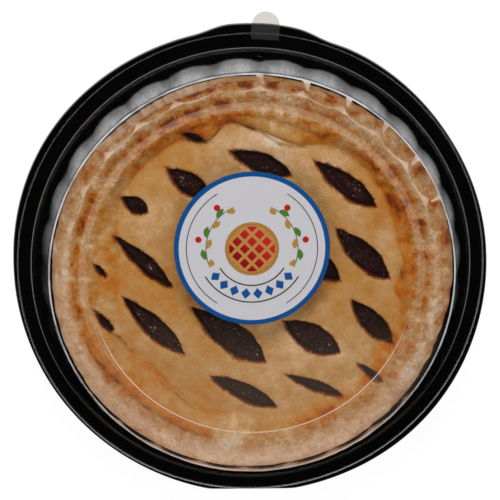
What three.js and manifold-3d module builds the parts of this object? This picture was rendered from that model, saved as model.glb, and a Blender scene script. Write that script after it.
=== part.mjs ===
// A cherry pie in its shop pack: a black moulded tray, the baked pie with a slit top crust over a dark
// fruit filling, a clear fluted dome lid with a lift tab, and a round paper label stuck on the lid.
// Millimetres, +Z up. The origin is the middle of the tray's underside, and the lift tab points to +Y.

import * as THREE from 'three';
import { mergeVertices } from 'three/addons/utils/BufferGeometryUtils.js';
import Module from 'manifold-3d';

const wasm = await Module();
wasm.setup();

const DEGREE = Math.PI / 180;
const GAP = 0.3; // left between pieces that touch

// Tray: 0.8 mm black sheet, with a flat floor and a wide sloping flange.
const TRAY_RADIUS = 119.5;
const TRAY_WALL = 0.8;
const FLOOR_RADIUS = 79;
const WELL_RADIUS = 98.2; // where the well's wall meets the flange
const FLANGE_HEIGHT = 27; // top of the flat land that the lid stands on
const SKIRT_HEIGHT = 22.4; // lower edge of the turned-down rim
const FOOT_STEP = [3.4, 2]; // the floor's rounded edge, outwards and upwards
const LAND_STEP = [1.8, 2]; // the rounded edge between the well's wall and the land
const TRAY_SIDES = 72;
// The flange from the land outwards, as radius and drop from the land: a bead, a ridge, then the slope.
const FLANGE = [[109.4, 0], [110.8, 1], [113.8, 0], [117.4, -1.2], [119.1, -2.2]];
const LIP_BULGE = 2.4; // the tray's own finger lip, beside the lid's tab
const LIP_FROM = 70;
const LIP_TO = 104;
const LIP_EASE = 9; // degrees over which the lip swells and dies out
const STANDING_FLAT = 1.6; // how far the rim is flattened where the pack stands on edge
const FLAT_HALF_ANGLE = 9.4;

// Lid: 0.5 mm clear sheet. Its wall has flutes that are deepest at the foot and die out at the ridge.
const LID_WALL = 0.5;
const FLUTES = 28;
const FLUTE_SIDES = 4; // facets across one flute
const NOTCH_ANGLE = 88.1; // one of the sharp creases between two flutes
const FOOT_RADIUS = 103.7; // at a crease
const FOOT_FLUTE = 1.8; // how far a flute swells past the creases at the foot
const FOOT_LIFT = 0.2; // the foot of the wall stands this much above the lid's land
const WAIST = [101.6, 39, 0.75]; // radius and height half way down the wall, and its share of the flute
const RIDGE_RADIUS = 99.2;
const RIDGE_HEIGHT = 49.5;
const RIDGE_IN = [-0.6, -0.1]; // the ridge's two rounded corners, from its highest line
const RIDGE_OUT = [0.5, -0.3];
const GUTTER_RADIUS = 93;
const GUTTER_FLUTE = -2.6; // inward swell of the flutes on the ridge's inner face
const GUTTER_HEIGHT = 44.7;
const STEP_OUTER = 85.6;
const STEP_INNER = 81.4;
const PANEL_HEIGHT = 47;
const TAB_HALF_WIDTH = 6.8;
const TAB_REACH = 128; // from the tray's centre to the tab's round end
const TAB_ANGLE = 86.9;
const TAB_ROOT = 0.5; // how far the tab reaches into the lid's edge
const TAB_LIFT = 0.05; // the tab's faces lie this much above the lid's edge
const NUB_EVERY = 4; // a moulded nub at every fourth crease
const NUB_RADIUS = 107;
const NUB_LENGTH = 5.2;
const NUB_WIDTH = 1.6;
const NUB_HEIGHT = 0.7;
const NUB_SINK = 0.1; // how deep a nub's middle lies in the sheet

// Label
const LABEL_RADIUS = 38.2;
const LABEL_THICKNESS = 0.3;
const LABEL_PLACE = [-0.4, 13.9];

// Pie. Its rim has slid a little towards -Y, where it is closest to the lid.
const PIE_SLIDE = -2.7;
const SLIDE_FROM = 26.5; // heights between which the slide and the unevenness set in, above the tray's well
const SLIDE_TO = 31;
const PIE_BOTTOM = 2.2;
const CRIMPS = 40;
const PIE_SIDES = 2 * CRIMPS;
const CRIMP_DEPTH = 0.6; // up and down from the rim's mean line
const CRIMP_PUSH = 0.4; // how far the thumb prints push the outer edge in
const CRIMP_LINE = 88; // radius of the row of crimps
const CRIMP_REACH = 6;
const CREASE_RADIUS = 73; // where the top crust meets the slope of the rim
const CREASE_HEIGHT = 34.2;
const CROWN_HEIGHT = 39.2;
const TOP_CRUST = 3.4; // thickness
const BASE_CRUST = 3.4;
const FILLING_FOOT = 76; // radius at the base crust
const FILLING_SHOULDER = [86.5, 22]; // radius and height of its widest place
const FILLING_EDGE = 82; // radius at the top, under the rim
const FILLING_SIDES = 40;
// The crust's outline in three stretches, as radius and height.
const CRUST_WALL = [[79.6, PIE_BOTTOM], [96, 26], [98.3, 28.4], [99.4, 31.2], [98.8, 34.8], [95.8, 38]];
const CRUST_RIM = [[91, 39.6], [87, 37.7], [82, 38.3], [78.6, 36.6], [CREASE_RADIUS, CREASE_HEIGHT]];
const CRUST_TOP = [[69, 34.9], [61, 36.5], [50, 37.8], [37, 38.6], [22, 39], [0, CROWN_HEIGHT]];
// Waves that make the pie uneven, each a count in one turn, a height and a start in degrees.
const EDGE_WAVES = [[5, 0.3, 34], [11, 0.25, 115]]; // in and out, at the rim
const FLARE_WAVES = [[1, 0.95, 169], [2, 1.3, 82]]; // the outer edge is wider at the sides and narrow at +Y
const PRESS_RADIUS = 102.7; // the crust's edge is pressed flat against the lid's wall: this far out at the
const PRESS_HEIGHT = 28; // height of the wall's foot, and less above it
const PRESS_SLOPE = -0.19;
const SLUMP_WAVES = [[3, 0.5, 23], [7, 0.4, 97]]; // up and down, at the rim
const CRIMP_WAVES = [[3, 0.25, 57]]; // share by which the crimps are deeper or shallower
// Low swells of the top crust, each a height and the lengths of a radian along X and Y.
const SWELLS = [[0.5, 13, 11], [0.35, 9, 9]];

// Vents in the top crust: middle x and y, half length, half width, and direction in degrees.
const VENTS = [
  [-29.5, 67.5, 6.2, 1.6, -19],
  [-31.3, 44.8, 12.9, 5.0, -35], [4.5, 54.4, 15.6, 5.0, -22], [46.2, 43.9, 19.4, 4.8, -37],
  [-57.9, 33.9, 7.0, 4.0, -30], [-21.2, 6.3, 17.5, 5.5, -38], [30.1, 6.8, 18.0, 5.5, -40],
  [55.0, 9.1, 18.7, 5.7, -44],
  [-75.3, 1.0, 4.6, 1.5, -49], [-53.7, 5.2, 18.9, 3.9, -42], [-11.1, -32.1, 23.2, 7.2, -38],
  [29.8, -33.3, 16.8, 6.8, -31], [60.4, -26.0, 15.4, 5.0, -48],
  [-73.3, -25.3, 6.5, 1.6, -53], [-49.1, -27.5, 20.6, 5.0, -43], [-4.0, -61.9, 18.4, 4.5, -27],
  [32.6, -59.5, 15.5, 2.6, -23], [59.9, -52.3, 6.9, 1.6, -35],
];
const VENT_FLOOR = 28.5; // a vent's cut goes down to here, inside the hollow
const VENT_CUT = 18;
const VENT_LEAN = 0.1; // the widest place lies this share of the half length past the middle

// Folds: tongues of dough pressed down from the rim, each a place, a reach, a direction and a height.
const FOLDS = [
  { x: 6, y: 70, long: 22, wide: 5, turn: -21, high: 2.0 },
  { x: -40, y: 66, long: 17, wide: 6, turn: -4, high: 2.2 },
  { x: -35, y: -66, long: 22, wide: 5, turn: -32, high: 1.3 },
  { x: 76, y: 6, long: 10, wide: 3.5, turn: -75, high: 1.2 },
];

// A smooth 0-to-1 step from one edge to the other.
const ramp = (from, to, value) => THREE.MathUtils.smoothstep(value, from, to);

// The sum of some waves at an angle in degrees.
function wavesAt(waves, angle) {
  const heights = waves.map(([count, high, start]) => high * Math.sin((count * angle + start) * DEGREE));
  return heights.reduce((sum, height) => sum + height, 0);
}

// A closed outline drawn as a shape and pushed up by a depth.
function extrude(shape, depth, curveSegments) {
  return new THREE.ExtrudeGeometry(shape, { depth, bevelEnabled: false, curveSegments });
}

// A closed geometry with shared corners, without the flat triangles that a pole leaves.
function welded(geometry) {
  geometry.deleteAttribute('normal');
  geometry.deleteAttribute('uv');
  const merged = mergeVertices(geometry, 1e-4);
  const index = [];
  for (let i = 0; i < merged.index.count; i += 3) {
    const [a, b, c] = [0, 1, 2].map((corner) => merged.index.getX(i + corner));
    if (a !== b && b !== c && c !== a) index.push(a, b, c);
  }
  merged.setIndex(index);
  return merged;
}

function toSolid(geometry) {
  const closed = welded(geometry);
  return new wasm.Manifold(new wasm.Mesh({
    numProp: 3,
    vertProperties: new Float32Array(closed.attributes.position.array),
    triVerts: new Uint32Array(closed.index.array),
  }));
}

function toGeometry(solid) {
  const mesh = solid.getMesh();
  const geometry = new THREE.BufferGeometry();
  geometry.setAttribute('position', new THREE.BufferAttribute(mesh.vertProperties, mesh.numProp));
  geometry.setIndex(new THREE.BufferAttribute(mesh.triVerts, 1));
  return geometry;
}

// Turns a closed profile of [radius, height, ...] points, listed anticlockwise with the axis on the left,
// about Z. bend(point, angle) gives the [x, y, z] of a profile point at an angle in degrees.
function revolve(profile, sides, bend = plain) {
  const outline = profile.map(([r, z]) => new THREE.Vector2(r, z));
  const geometry = new THREE.LatheGeometry(outline, sides);
  geometry.rotateX(Math.PI / 2);
  const position = geometry.attributes.position;
  for (let i = 0; i < position.count; i++) {
    const turn = Math.floor(i / profile.length) % sides;
    const angle = (turn * 360) / sides - 90;
    position.setXYZ(i, ...bend(profile[i % profile.length], angle));
  }
  return geometry;
}

function plain([r, z], angle) {
  return [r * Math.cos(angle * DEGREE), r * Math.sin(angle * DEGREE), z];
}

// The line a sheet's thickness below a profile line: each point moves square to its neighbours.
function offsetLine(line, thickness) {
  return line.map(([r, z, ...rest], i) => {
    const [r0, z0] = line[Math.max(i - 1, 0)];
    const [r1, z1] = line[Math.min(i + 1, line.length - 1)];
    const [out, up] = new THREE.Vector2(r0 - r1, z0 - z1).normalize().multiplyScalar(thickness).toArray();
    return [r - up, z + out, ...rest];
  });
}

// Tray -----------------------------------------------------------------------------------------------

// The first points of the flange, raised above the tray's own land.
function flangeLine(raised, count = FLANGE.length) {
  return FLANGE.slice(0, count).map(([r, drop]) => [r, FLANGE_HEIGHT + drop + raised]);
}

// Top face of the tray from its middle out to the turned-down edge.
function trayTop() {
  return [
    [0, TRAY_WALL], [FLOOR_RADIUS, TRAY_WALL], [FLOOR_RADIUS + FOOT_STEP[0], TRAY_WALL + FOOT_STEP[1]],
    [WELL_RADIUS, FLANGE_HEIGHT - LAND_STEP[1]], [WELL_RADIUS + LAND_STEP[0], FLANGE_HEIGHT],
    ...flangeLine(0), [TRAY_RADIUS, SKIRT_HEIGHT],
  ];
}

// Outside the lid, the rim swells into the finger lip on one side and is flattened on the other.
function trayBend([r, z], angle) {
  const outer = ramp(FLANGE[3][0], TRAY_RADIUS, r);
  const swell = ramp(LIP_FROM, LIP_FROM + LIP_EASE, angle) * (1 - ramp(LIP_TO - LIP_EASE, LIP_TO, angle));
  const lip = LIP_BULGE * swell;
  const away = Math.min(Math.abs(angle + 90), Math.abs(angle - 270));
  const flat = STANDING_FLAT * Math.max(0, 1 - (away / FLAT_HALF_ANGLE) ** 2);
  return plain([r + outer * (lip - flat), z], angle);
}

function trayGeometry() {
  const top = trayTop();
  const under = offsetLine(top, TRAY_WALL).reverse();
  return revolve([...top, ...under].reverse(), TRAY_SIDES, trayBend);
}

// Lid ------------------------------------------------------------------------------------------------

// Upper face of the lid from the middle of its panel out to its edge, as [radius, height, flute swell].
function lidTop() {
  const over = GAP + LID_WALL; // above the tray's top face
  return [
    [0, PANEL_HEIGHT], [STEP_INNER, PANEL_HEIGHT], [STEP_OUTER, GUTTER_HEIGHT],
    [GUTTER_RADIUS, GUTTER_HEIGHT, GUTTER_FLUTE],
    ...[RIDGE_IN, RIDGE_OUT].map(([out, up]) => [RIDGE_RADIUS + out, RIDGE_HEIGHT + up]),
    [WAIST[0], WAIST[1], FOOT_FLUTE * WAIST[2]],
    [FOOT_RADIUS, FLANGE_HEIGHT + over + FOOT_LIFT, FOOT_FLUTE], ...flangeLine(over, 4),
  ];
}

// A flute is a parabola across its width: nothing at its creases and its full swell in the middle.
function lidBend([r, z, swell = 0], angle) {
  const place = (angle - NOTCH_ANGLE) / (360 / FLUTES);
  const across = 2 * (place - Math.floor(place)) - 1;
  return plain([r + swell * (1 - across * across), z], angle);
}

// The lathe starts at -90 degrees, so the fluted wall is turned to bring a crease to NOTCH_ANGLE.
function lidShell() {
  const top = lidTop();
  const under = offsetLine(top, LID_WALL).reverse();
  const turn = ((NOTCH_ANGLE + 90) % (360 / FLUTES)) * DEGREE;
  const bend = (point, angle) => lidBend(point, angle + turn / DEGREE);
  return revolve([...top, ...under].reverse(), FLUTES * FLUTE_SIDES, bend);
}

// Round-ended lift tab that leaves the lid's edge and lies just above the tray's flange.
function tabGeometry() {
  const [edge, drop] = FLANGE[3];
  const start = edge - TAB_ROOT;
  const shape = new THREE.Shape();
  shape.moveTo(start, -TAB_HALF_WIDTH);
  shape.lineTo(TAB_REACH - TAB_HALF_WIDTH, -TAB_HALF_WIDTH);
  shape.absarc(TAB_REACH - TAB_HALF_WIDTH, 0, TAB_HALF_WIDTH, -Math.PI / 2, Math.PI / 2, false);
  shape.lineTo(start, TAB_HALF_WIDTH);
  shape.closePath();
  const geometry = extrude(shape, LID_WALL, 10);
  geometry.rotateZ(TAB_ANGLE * DEGREE);
  geometry.translate(0, 0, FLANGE_HEIGHT + drop + GAP + TAB_LIFT);
  return geometry;
}

// Low oval nub on the lid's land, opposite a crease.
function nubGeometry(number) {
  const geometry = new THREE.SphereGeometry(1, 6, 4);
  geometry.scale(NUB_WIDTH / 2, NUB_LENGTH / 2, NUB_HEIGHT);
  geometry.translate(NUB_RADIUS, 0, FLANGE_HEIGHT + GAP + LID_WALL - NUB_SINK);
  geometry.rotateZ((NOTCH_ANGLE + (number * NUB_EVERY * 360) / FLUTES) * DEGREE);
  return geometry;
}

function lidGeometry() {
  let lid = toSolid(lidShell()).add(toSolid(tabGeometry()));
  for (let number = 0; number < FLUTES / NUB_EVERY; number++) lid = lid.add(toSolid(nubGeometry(number)));
  return toGeometry(lid);
}

// Label ----------------------------------------------------------------------------------------------

function labelGeometry() {
  const geometry = new THREE.CylinderGeometry(LABEL_RADIUS, LABEL_RADIUS, LABEL_THICKNESS, 48);
  geometry.rotateX(Math.PI / 2);
  geometry.translate(...LABEL_PLACE, PANEL_HEIGHT + GAP + LABEL_THICKNESS / 2);
  return geometry;
}

// Pie ------------------------------------------------------------------------------------------------

// Rise of the folds at a place on the crust: each is a smooth tongue with one steeper side.
function foldRise(x, y) {
  let rise = 0;
  for (const { x: fx, y: fy, long, wide, turn, high } of FOLDS) {
    const [c, s] = [Math.cos(turn * DEGREE), Math.sin(turn * DEGREE)];
    const along = ((x - fx) * c + (y - fy) * s) / long;
    const across = ((y - fy) * c - (x - fx) * s) / wide;
    rise += high * Math.exp(-(along ** 4) - across ** 2);
  }
  return rise;
}

// Crimps, slumps and swells of a hand-finished crust. Everything above the tray's well slides with the rim.
function crustBend([r, z], angle) {
  const above = ramp(SLIDE_FROM, SLIDE_TO, z);
  const rim = Math.exp(-(((r - CRIMP_LINE) / CRIMP_REACH) ** 2));
  const crimp = Math.cos(CRIMPS * angle * DEGREE);
  const edge = ramp(CREASE_RADIUS, CRIMP_LINE, r) * (wavesAt(EDGE_WAVES, angle) - CRIMP_PUSH * crimp)
    + ramp(CRIMP_LINE, CRUST_WALL[3][0], r) * wavesAt(FLARE_WAVES, angle);
  const [x, y] = plain([r + above * edge, 0], angle);
  const swell = SWELLS.reduce((sum, [high, a, b]) => sum + high * Math.sin(x / a + 1) * Math.cos(y / b), 0);
  const inside = 1 - ramp(CRIMP_LINE, CRIMP_LINE + CRIMP_REACH, r);
  const rise = rim * crimp * CRIMP_DEPTH * (1 + wavesAt(CRIMP_WAVES, angle))
    + ramp(CREASE_RADIUS - CRIMP_REACH, CRIMP_LINE, r) * wavesAt(SLUMP_WAVES, angle)
    + inside * (foldRise(x, y) + swell);
  const [moved, height] = [y + PIE_SLIDE * above, z + above * rise];
  const limit = PRESS_RADIUS + PRESS_SLOPE * (height - PRESS_HEIGHT);
  const press = Math.min(1, limit / Math.max(Math.hypot(x, moved), 1));
  return [x * press, moved * press, height];
}

// The hollow that the filling takes up, or the filling itself once it is drawn in by the gap.
function fillingGeometry(drawnIn) {
  const floor = PIE_BOTTOM + BASE_CRUST + drawnIn;
  const under = TOP_CRUST + drawnIn; // depth below the crust's top
  const roof = [[CREASE_RADIUS, CREASE_HEIGHT], CRUST_TOP[1], CRUST_TOP[3], CRUST_TOP[5]];
  const profile = [
    [0, floor], [FILLING_FOOT - drawnIn, floor], [FILLING_SHOULDER[0] - drawnIn, FILLING_SHOULDER[1]],
    [FILLING_EDGE - drawnIn, CREASE_HEIGHT - under], ...roof.map(([r, z]) => [r, z - under]),
  ];
  const bend = ([r, z], angle) => {
    const [x, y] = plain([r, z], angle);
    return [x, y + PIE_SLIDE * ramp(SLIDE_FROM, SLIDE_TO, z), z];
  };
  return revolve(profile, FILLING_SIDES, bend);
}

// An eye-shaped knife slit: two arcs that meet in points, cut straight down into the hollow.
function ventGeometry([x, y, halfLength, halfWidth, turn]) {
  const shape = new THREE.Shape();
  shape.moveTo(-halfLength, 0);
  shape.quadraticCurveTo(halfLength * VENT_LEAN, -2 * halfWidth, halfLength, 0);
  shape.quadraticCurveTo(halfLength * VENT_LEAN, 2 * halfWidth, -halfLength, 0);
  const geometry = extrude(shape, VENT_CUT, 4);
  geometry.rotateZ(turn * DEGREE);
  geometry.translate(x, y, VENT_FLOOR);
  return geometry;
}

function crustGeometry() {
  const profile = [[0, PIE_BOTTOM], ...CRUST_WALL, ...CRUST_RIM, ...CRUST_TOP];
  let crust = toSolid(revolve(profile, PIE_SIDES, crustBend));
  crust = crust.subtract(toSolid(fillingGeometry(0)));
  for (const vent of VENTS) crust = crust.subtract(toSolid(ventGeometry(vent)));
  return toGeometry(crust);
}

// Assembly -------------------------------------------------------------------------------------------

function piece(name, geometry, color, roughness, extra = {}) {
  const material = new THREE.MeshStandardMaterial({ color, roughness, metalness: 0, ...extra });
  const mesh = new THREE.Mesh(geometry, material);
  mesh.name = name;
  return mesh;
}

const pack = new THREE.Group();
pack.add(
  piece('tray', trayGeometry(), 0x0b0b0c, 0.22),
  piece('crust', crustGeometry(), 0xc08a45, 0.75),
  piece('filling', fillingGeometry(GAP), 0x220a10, 0.2),
  piece('lid', lidGeometry(), 0xf2f4f5, 0.05, { transparent: true, opacity: 0.25 }),
  piece('label', labelGeometry(), 0xd0ced2, 0.5),
);

export default pack;
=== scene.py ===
# %% [markdown]
# # A cherry pie in its shop pack
#
# A two-crust pie sits in a black moulded tray under a clear fluted dome, with a round paper label on
# top. This file dresses the packed model, which fixes every size and place, with fine surfaces and
# finishes. All shapes are worked out in millimetres, where they are easy to picture, and become metres
# only when a mesh is made. The packed model comes first, because everything else is fitted to it.

# %% The packed model
import itertools

import bmesh
import bpy
import numpy as np
from mathutils import Matrix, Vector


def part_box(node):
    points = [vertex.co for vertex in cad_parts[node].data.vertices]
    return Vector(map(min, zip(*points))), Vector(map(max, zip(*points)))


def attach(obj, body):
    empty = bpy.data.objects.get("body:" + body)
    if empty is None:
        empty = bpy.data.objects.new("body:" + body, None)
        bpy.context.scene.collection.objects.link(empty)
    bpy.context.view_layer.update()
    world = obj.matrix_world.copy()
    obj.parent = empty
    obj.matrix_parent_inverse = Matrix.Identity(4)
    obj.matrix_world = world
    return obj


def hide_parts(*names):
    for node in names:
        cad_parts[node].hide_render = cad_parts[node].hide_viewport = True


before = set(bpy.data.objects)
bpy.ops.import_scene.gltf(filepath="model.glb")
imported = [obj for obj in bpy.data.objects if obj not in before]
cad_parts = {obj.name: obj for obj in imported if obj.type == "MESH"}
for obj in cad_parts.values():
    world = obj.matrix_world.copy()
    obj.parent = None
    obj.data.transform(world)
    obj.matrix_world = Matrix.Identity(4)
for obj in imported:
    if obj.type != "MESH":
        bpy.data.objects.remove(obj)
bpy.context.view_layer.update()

MM = 0.001


def box_mm(node):
    """Lowest and highest corner of a packed node, in millimetres."""
    return [np.array(corner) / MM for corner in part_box(node)]


print("nodes:", sorted(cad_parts))
print("tray box, mm:", np.round(box_mm("tray"), 1).tolist())

# %% [markdown]
# ## Camera
#
# The pack is looked down on from a little past its lift tab. A long lens from 0.8 m away keeps the
# round rim nearly circular; a short lens would swell the middle. The camera's three axes are written
# out as vectors, because a tracking constraint can't roll the picture by the small turn wanted here.

# %% Camera
VIEW_MIDDLE = np.array([0, 0, 25.0])
VIEW_DISTANCE = 800
VIEW_TILT, VIEW_TURN = np.radians([12.5, 9])  # off the vertical, and round it from +Y
VIEW_AIM = (-0.6, 8.5)  # the lens points this far right and up of the middle
LENS = 114.2


def unit(vector):
    """The vector divided by its length."""
    return vector / np.linalg.norm(vector)


def camera_axes(tilt, turn):
    """Right, up and backward vectors of a camera tilted off the vertical towards a turned +Y, whose
    picture is rolled back by the same turn, so that +Y still points up in it."""
    level = np.array([np.cos(turn), np.sin(turn), 0])
    steep = np.array([-np.sin(turn) * np.cos(tilt), np.cos(turn) * np.cos(tilt), -np.sin(tilt)])
    right = np.cos(turn) * level - np.sin(turn) * steep
    up = np.sin(turn) * level + np.cos(turn) * steep
    return right, up, np.cross(right, up)


right, up, back = camera_axes(VIEW_TILT, VIEW_TURN)
eye = VIEW_MIDDLE + VIEW_DISTANCE * back
back = unit(eye - (VIEW_MIDDLE + VIEW_AIM[0] * right + VIEW_AIM[1] * up))
right = unit(np.cross(up, back))
up = np.cross(back, right)
camera = bpy.data.objects.new("camera", bpy.data.cameras.new("camera"))
camera.data.lens = LENS
axes = np.column_stack([right, up, back, eye * MM])
camera.matrix_world = Matrix(axes.tolist()).to_4x4()
bpy.context.scene.collection.objects.link(camera)
bpy.context.scene.camera = camera
print("camera at, mm:", np.round(eye, 1))

# %% [markdown]
# ## Shader maths as Python
#
# A finish is a small sum: so much browning here, so much juice there. Wiring Math nodes by hand hides
# that sum, so one class wraps a socket and lets `+`, `-`, `*` and `/` add the nodes. Anything else
# comes from one method that takes a node's type, its settings and its inputs.

# %% A socket that can be calculated with


class Wire:
    """An output socket. Arithmetic on it adds Math nodes to the same tree."""

    def __init__(self, board, socket):
        self.board = board
        self.socket = socket

    def __add__(self, other):
        return self.board.math("ADD", self, other)

    def __sub__(self, other):
        return self.board.math("SUBTRACT", self, other)

    def __rsub__(self, other):
        return self.board.math("SUBTRACT", other, self)

    def __mul__(self, other):
        return self.board.math("MULTIPLY", self, other)

    def __truediv__(self, other):
        return self.board.math("DIVIDE", self, other)

    def __pow__(self, other):
        return self.board.math("POWER", self, other)

    __radd__ = __add__
    __rmul__ = __mul__

    def size(self):
        """The value without its sign."""
        return self.board.math("ABSOLUTE", self)

    def fraction(self):
        """What the value has past the whole number below it. It starts again at every repeat."""
        return self.board.math("FRACT", self)

    def step(self, low, high):
        """0 below low and 1 above high, with an S-curve between. high < low turns it round."""
        if high < low:
            return 1 - self.step(high, low)
        settings = {"interpolation_type": "SMOOTHSTEP"}
        return self.board.node("ShaderNodeMapRange", settings, {0: self, 1: low, 2: high})

    def band(self, middle, reach, soft):
        """1 within reach of the middle, fading to 0 over the soft width outside it."""
        return (self - middle).size().step(reach + soft, reach)


print("a wire can be added, taken away, multiplied, divided and raised, and has:",
      ", ".join(name for name in vars(Wire) if "__" not in name))

# %% A board that nodes are put on


class Board:
    """The node tree of one finish, or of the world."""

    def __init__(self, tree):
        self.tree = tree
        tree.nodes.clear()

    def node(self, kind, settings=None, inputs=None, output=0):
        """Adds a node. Its settings are set first, then its inputs, by name or number, as values or
        wires. Returns the wire of one output."""
        made = self.tree.nodes.new(kind)
        for name, value in (settings or {}).items():
            if name == "stops":
                fill_ramp(made.color_ramp, value)
            else:
                setattr(made, name, value)
        for name, value in (inputs or {}).items():
            socket = made.inputs[name]
            if isinstance(value, Wire):
                self.tree.links.new(value.socket, socket)
            elif socket.type == "RGBA":
                socket.default_value = (*value, 1)
            else:
                socket.default_value = value
        return Wire(self, made.outputs[output])

    def math(self, operation, *values):
        """A Math node of one operation, on values or wires."""
        return self.node("ShaderNodeMath", {"operation": operation}, dict(enumerate(values)))

    def mix(self, share, first, second):
        """Colour between first and second, by a share from 0 to 1."""
        return self.node("ShaderNodeMix", {"data_type": "RGBA"}, {0: share, 6: first, 7: second}, 2)

    def layered(self, colour, coats):
        """The colour with coats laid over it in turn, each a share from 0 to 1 and a colour."""
        for share, coat in coats:
            colour = self.mix(share, colour, coat)
        return colour

    def blend(self, share, first, second):
        """Shader between first and second, by a share from 0 to 1."""
        return self.node("ShaderNodeMixShader", None, {0: share, 1: first, 2: second})

    def noise(self, place, grain, detail=2.0, rough=0.5):
        """Soft noise from 0 to 1 on a place in millimetres, with blots about one grain across."""
        inputs = {"Vector": place, "Scale": 1 / grain, "Detail": detail, "Roughness": rough}
        return self.node("ShaderNodeTexNoise", None, inputs)

    def attribute(self, name):
        """A number stored on the mesh's points."""
        return self.node("ShaderNodeAttribute", {"attribute_name": name}, None, "Fac")

    def bump(self, height, distance, strength=1.0):
        """Small relief: a height from 0 to 1 that stands for a distance in millimetres."""
        inputs = {"Height": height, "Distance": distance * MM, "Strength": strength}
        return self.node("ShaderNodeBump", None, inputs)

    def place(self, centre=(0, 0, 0)):
        """Place on the piece in millimetres, measured from a centre."""
        here = self.node("ShaderNodeTexCoord", None, None, "Object")
        start = [-value for value in centre]
        inputs = {"Vector": here, "Location": start, "Scale": [1 / MM] * 3}
        return self.node("ShaderNodeMapping", None, inputs)

    def parts(self, vector):
        """The X, Y and Z wires of a vector."""
        node = self.node("ShaderNodeSeparateXYZ", None, {0: vector}).socket.node
        return [Wire(self, socket) for socket in node.outputs]

    def finish(self, shader, kind="ShaderNodeOutputMaterial"):
        """Joins the last shader to the tree's output."""
        output = self.tree.nodes.new(kind)
        self.tree.links.new(shader.socket, output.inputs["Surface"])

    def opaque(self, inputs):
        """Finishes a material with one principled shader."""
        self.finish(self.node("ShaderNodeBsdfPrincipled", None, inputs))


print("a board has:", ", ".join(name for name in vars(Board) if "__" not in name))

# %% Colours and new materials


def from_middle(x, y):
    """How far a place is from the middle, for wires."""
    return (x * x + y * y) ** 0.5


def fill_ramp(ramp, stops):
    """Sets a colour ramp from (place, colour) stops."""
    while len(ramp.elements) < len(stops):
        ramp.elements.new(1)
    for element, (place, colour) in zip(ramp.elements, stops):
        element.position = place
        element.color = (*colour, 1)


def ink(red, green, blue):
    """A colour given as 0 to 255 screen values, as the linear light that shaders reckon with."""
    screen = np.array([red, green, blue]) / 255
    return tuple(np.where(screen < 0.04045, screen / 12.92, ((screen + 0.055) / 1.055) ** 2.4).tolist())


def new_board(name):
    """An empty material and the board of its tree."""
    material = bpy.data.materials.new(name)
    material.use_nodes = True
    return material, Board(material.node_tree)


print("pie tan as linear light:", np.round(ink(190, 150, 95), 3))

# %% [markdown]
# ## Studio
#
# Clear plastic and black plastic show whatever is around them. A bright ceiling would turn the flat top
# of the dome into a white veil, and every lamp would show again as a blob on each flute. So the sky is
# dark but for a low band, and the soft boxes light surfaces without being mirrored, as if a polarising
# filter were used. The strongest stands behind the lift tab, so its light slants over the crust.

# %% Sky
SKY_HIGH, SKY_LOW = 0.008, 0.7  # brightness overhead and at the horizon
SKY_EDGE = (0.03, 0.24)  # sines of the heights between which the sky darkens

bpy.context.scene.view_settings.view_transform = "Standard"
world = bpy.data.worlds.new("studio")
world.use_nodes = True
bpy.context.scene.world = world
sky = Board(world.node_tree)
direction = sky.node("ShaderNodeTexCoord", None, None, "Generated")
high = sky.parts(direction)[2].step(*SKY_EDGE)
glow = sky.mix(high, (SKY_LOW,) * 3, (SKY_HIGH,) * 3)
sky.finish(sky.node("ShaderNodeBackground", None, {"Color": glow}), "ShaderNodeOutputWorld")
print("the sky is", round(SKY_LOW / SKY_HIGH), "times as bright at the horizon as overhead")

# %% Soft boxes
# Direction from +X towards +Y and height in degrees, width and height in metres, brightness
SOFT_BOXES = {
    "key": (92, 40, 0.7, 0.45, 9.4),
    "left": (165, 50, 0.6, 0.4, 3.6),
    "right": (15, 50, 0.6, 0.4, 3.0),
    "front": (-95, 46, 0.7, 0.5, 4.8),
}
BOX_DISTANCE = 1.3


def soft_box(name, turn, height, wide, tall, bright):
    """A rectangular lamp at an equal distance from the pack, facing it. A lamp's power is pi times
    its area times its brightness."""
    turn, height = np.radians([turn, height])
    away = np.array([np.cos(turn) * np.cos(height), np.sin(turn) * np.cos(height), np.sin(height)])
    lamp = bpy.data.lights.new(name, "AREA")
    lamp.shape = "RECTANGLE"
    lamp.size, lamp.size_y = wide, tall
    lamp.energy = np.pi * wide * tall * bright
    holder = bpy.data.objects.new(name, lamp)
    across = unit(np.cross([0, 0, 1], away))
    axes = np.column_stack([across, np.cross(away, across), away, away * BOX_DISTANCE])
    holder.matrix_world = Matrix(axes.tolist()).to_4x4()
    holder.visible_glossy = False
    bpy.context.scene.collection.objects.link(holder)


for name, facts in SOFT_BOXES.items():
    soft_box(name, *facts)
print("soft boxes:", ", ".join(SOFT_BOXES))

# %% Floor
FLOOR_HALF = 9.0
FLOOR_TONE, FLOOR_GLOW = 0.2, 0.9

floor_finish, board = new_board("white_floor")
paper = {"Base Color": (FLOOR_TONE,) * 3, "Roughness": 0.9, "Specular IOR Level": 0}
paper |= {"Emission Color": (1, 1, 1), "Emission Strength": FLOOR_GLOW}
board.opaque(paper)
sheet = bpy.data.meshes.new("floor")
sheet.from_pydata([(x, y, 0) for x, y in ((-1, -1), (1, -1), (1, 1), (-1, 1))], [], [(0, 1, 2, 3)])
sheet.transform(Matrix.Scale(FLOOR_HALF, 4))
sheet.materials.append(floor_finish)
floor = bpy.data.objects.new("floor", sheet)
bpy.context.scene.collection.objects.link(floor)
print("floor:", 2 * FLOOR_HALF, "m wide")

# %% [markdown]
# ## Meshes from arrays
#
# Every piece is a grid of points worked out as whole arrays. Round pieces turn a section about the
# axis; the crust is a square grid bent into a disc. One function makes each mesh: it turns the faces
# outwards by the sign of the enclosed volume, and welds the poles, where many points share a place.

# %% Curves that ease and swell


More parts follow.
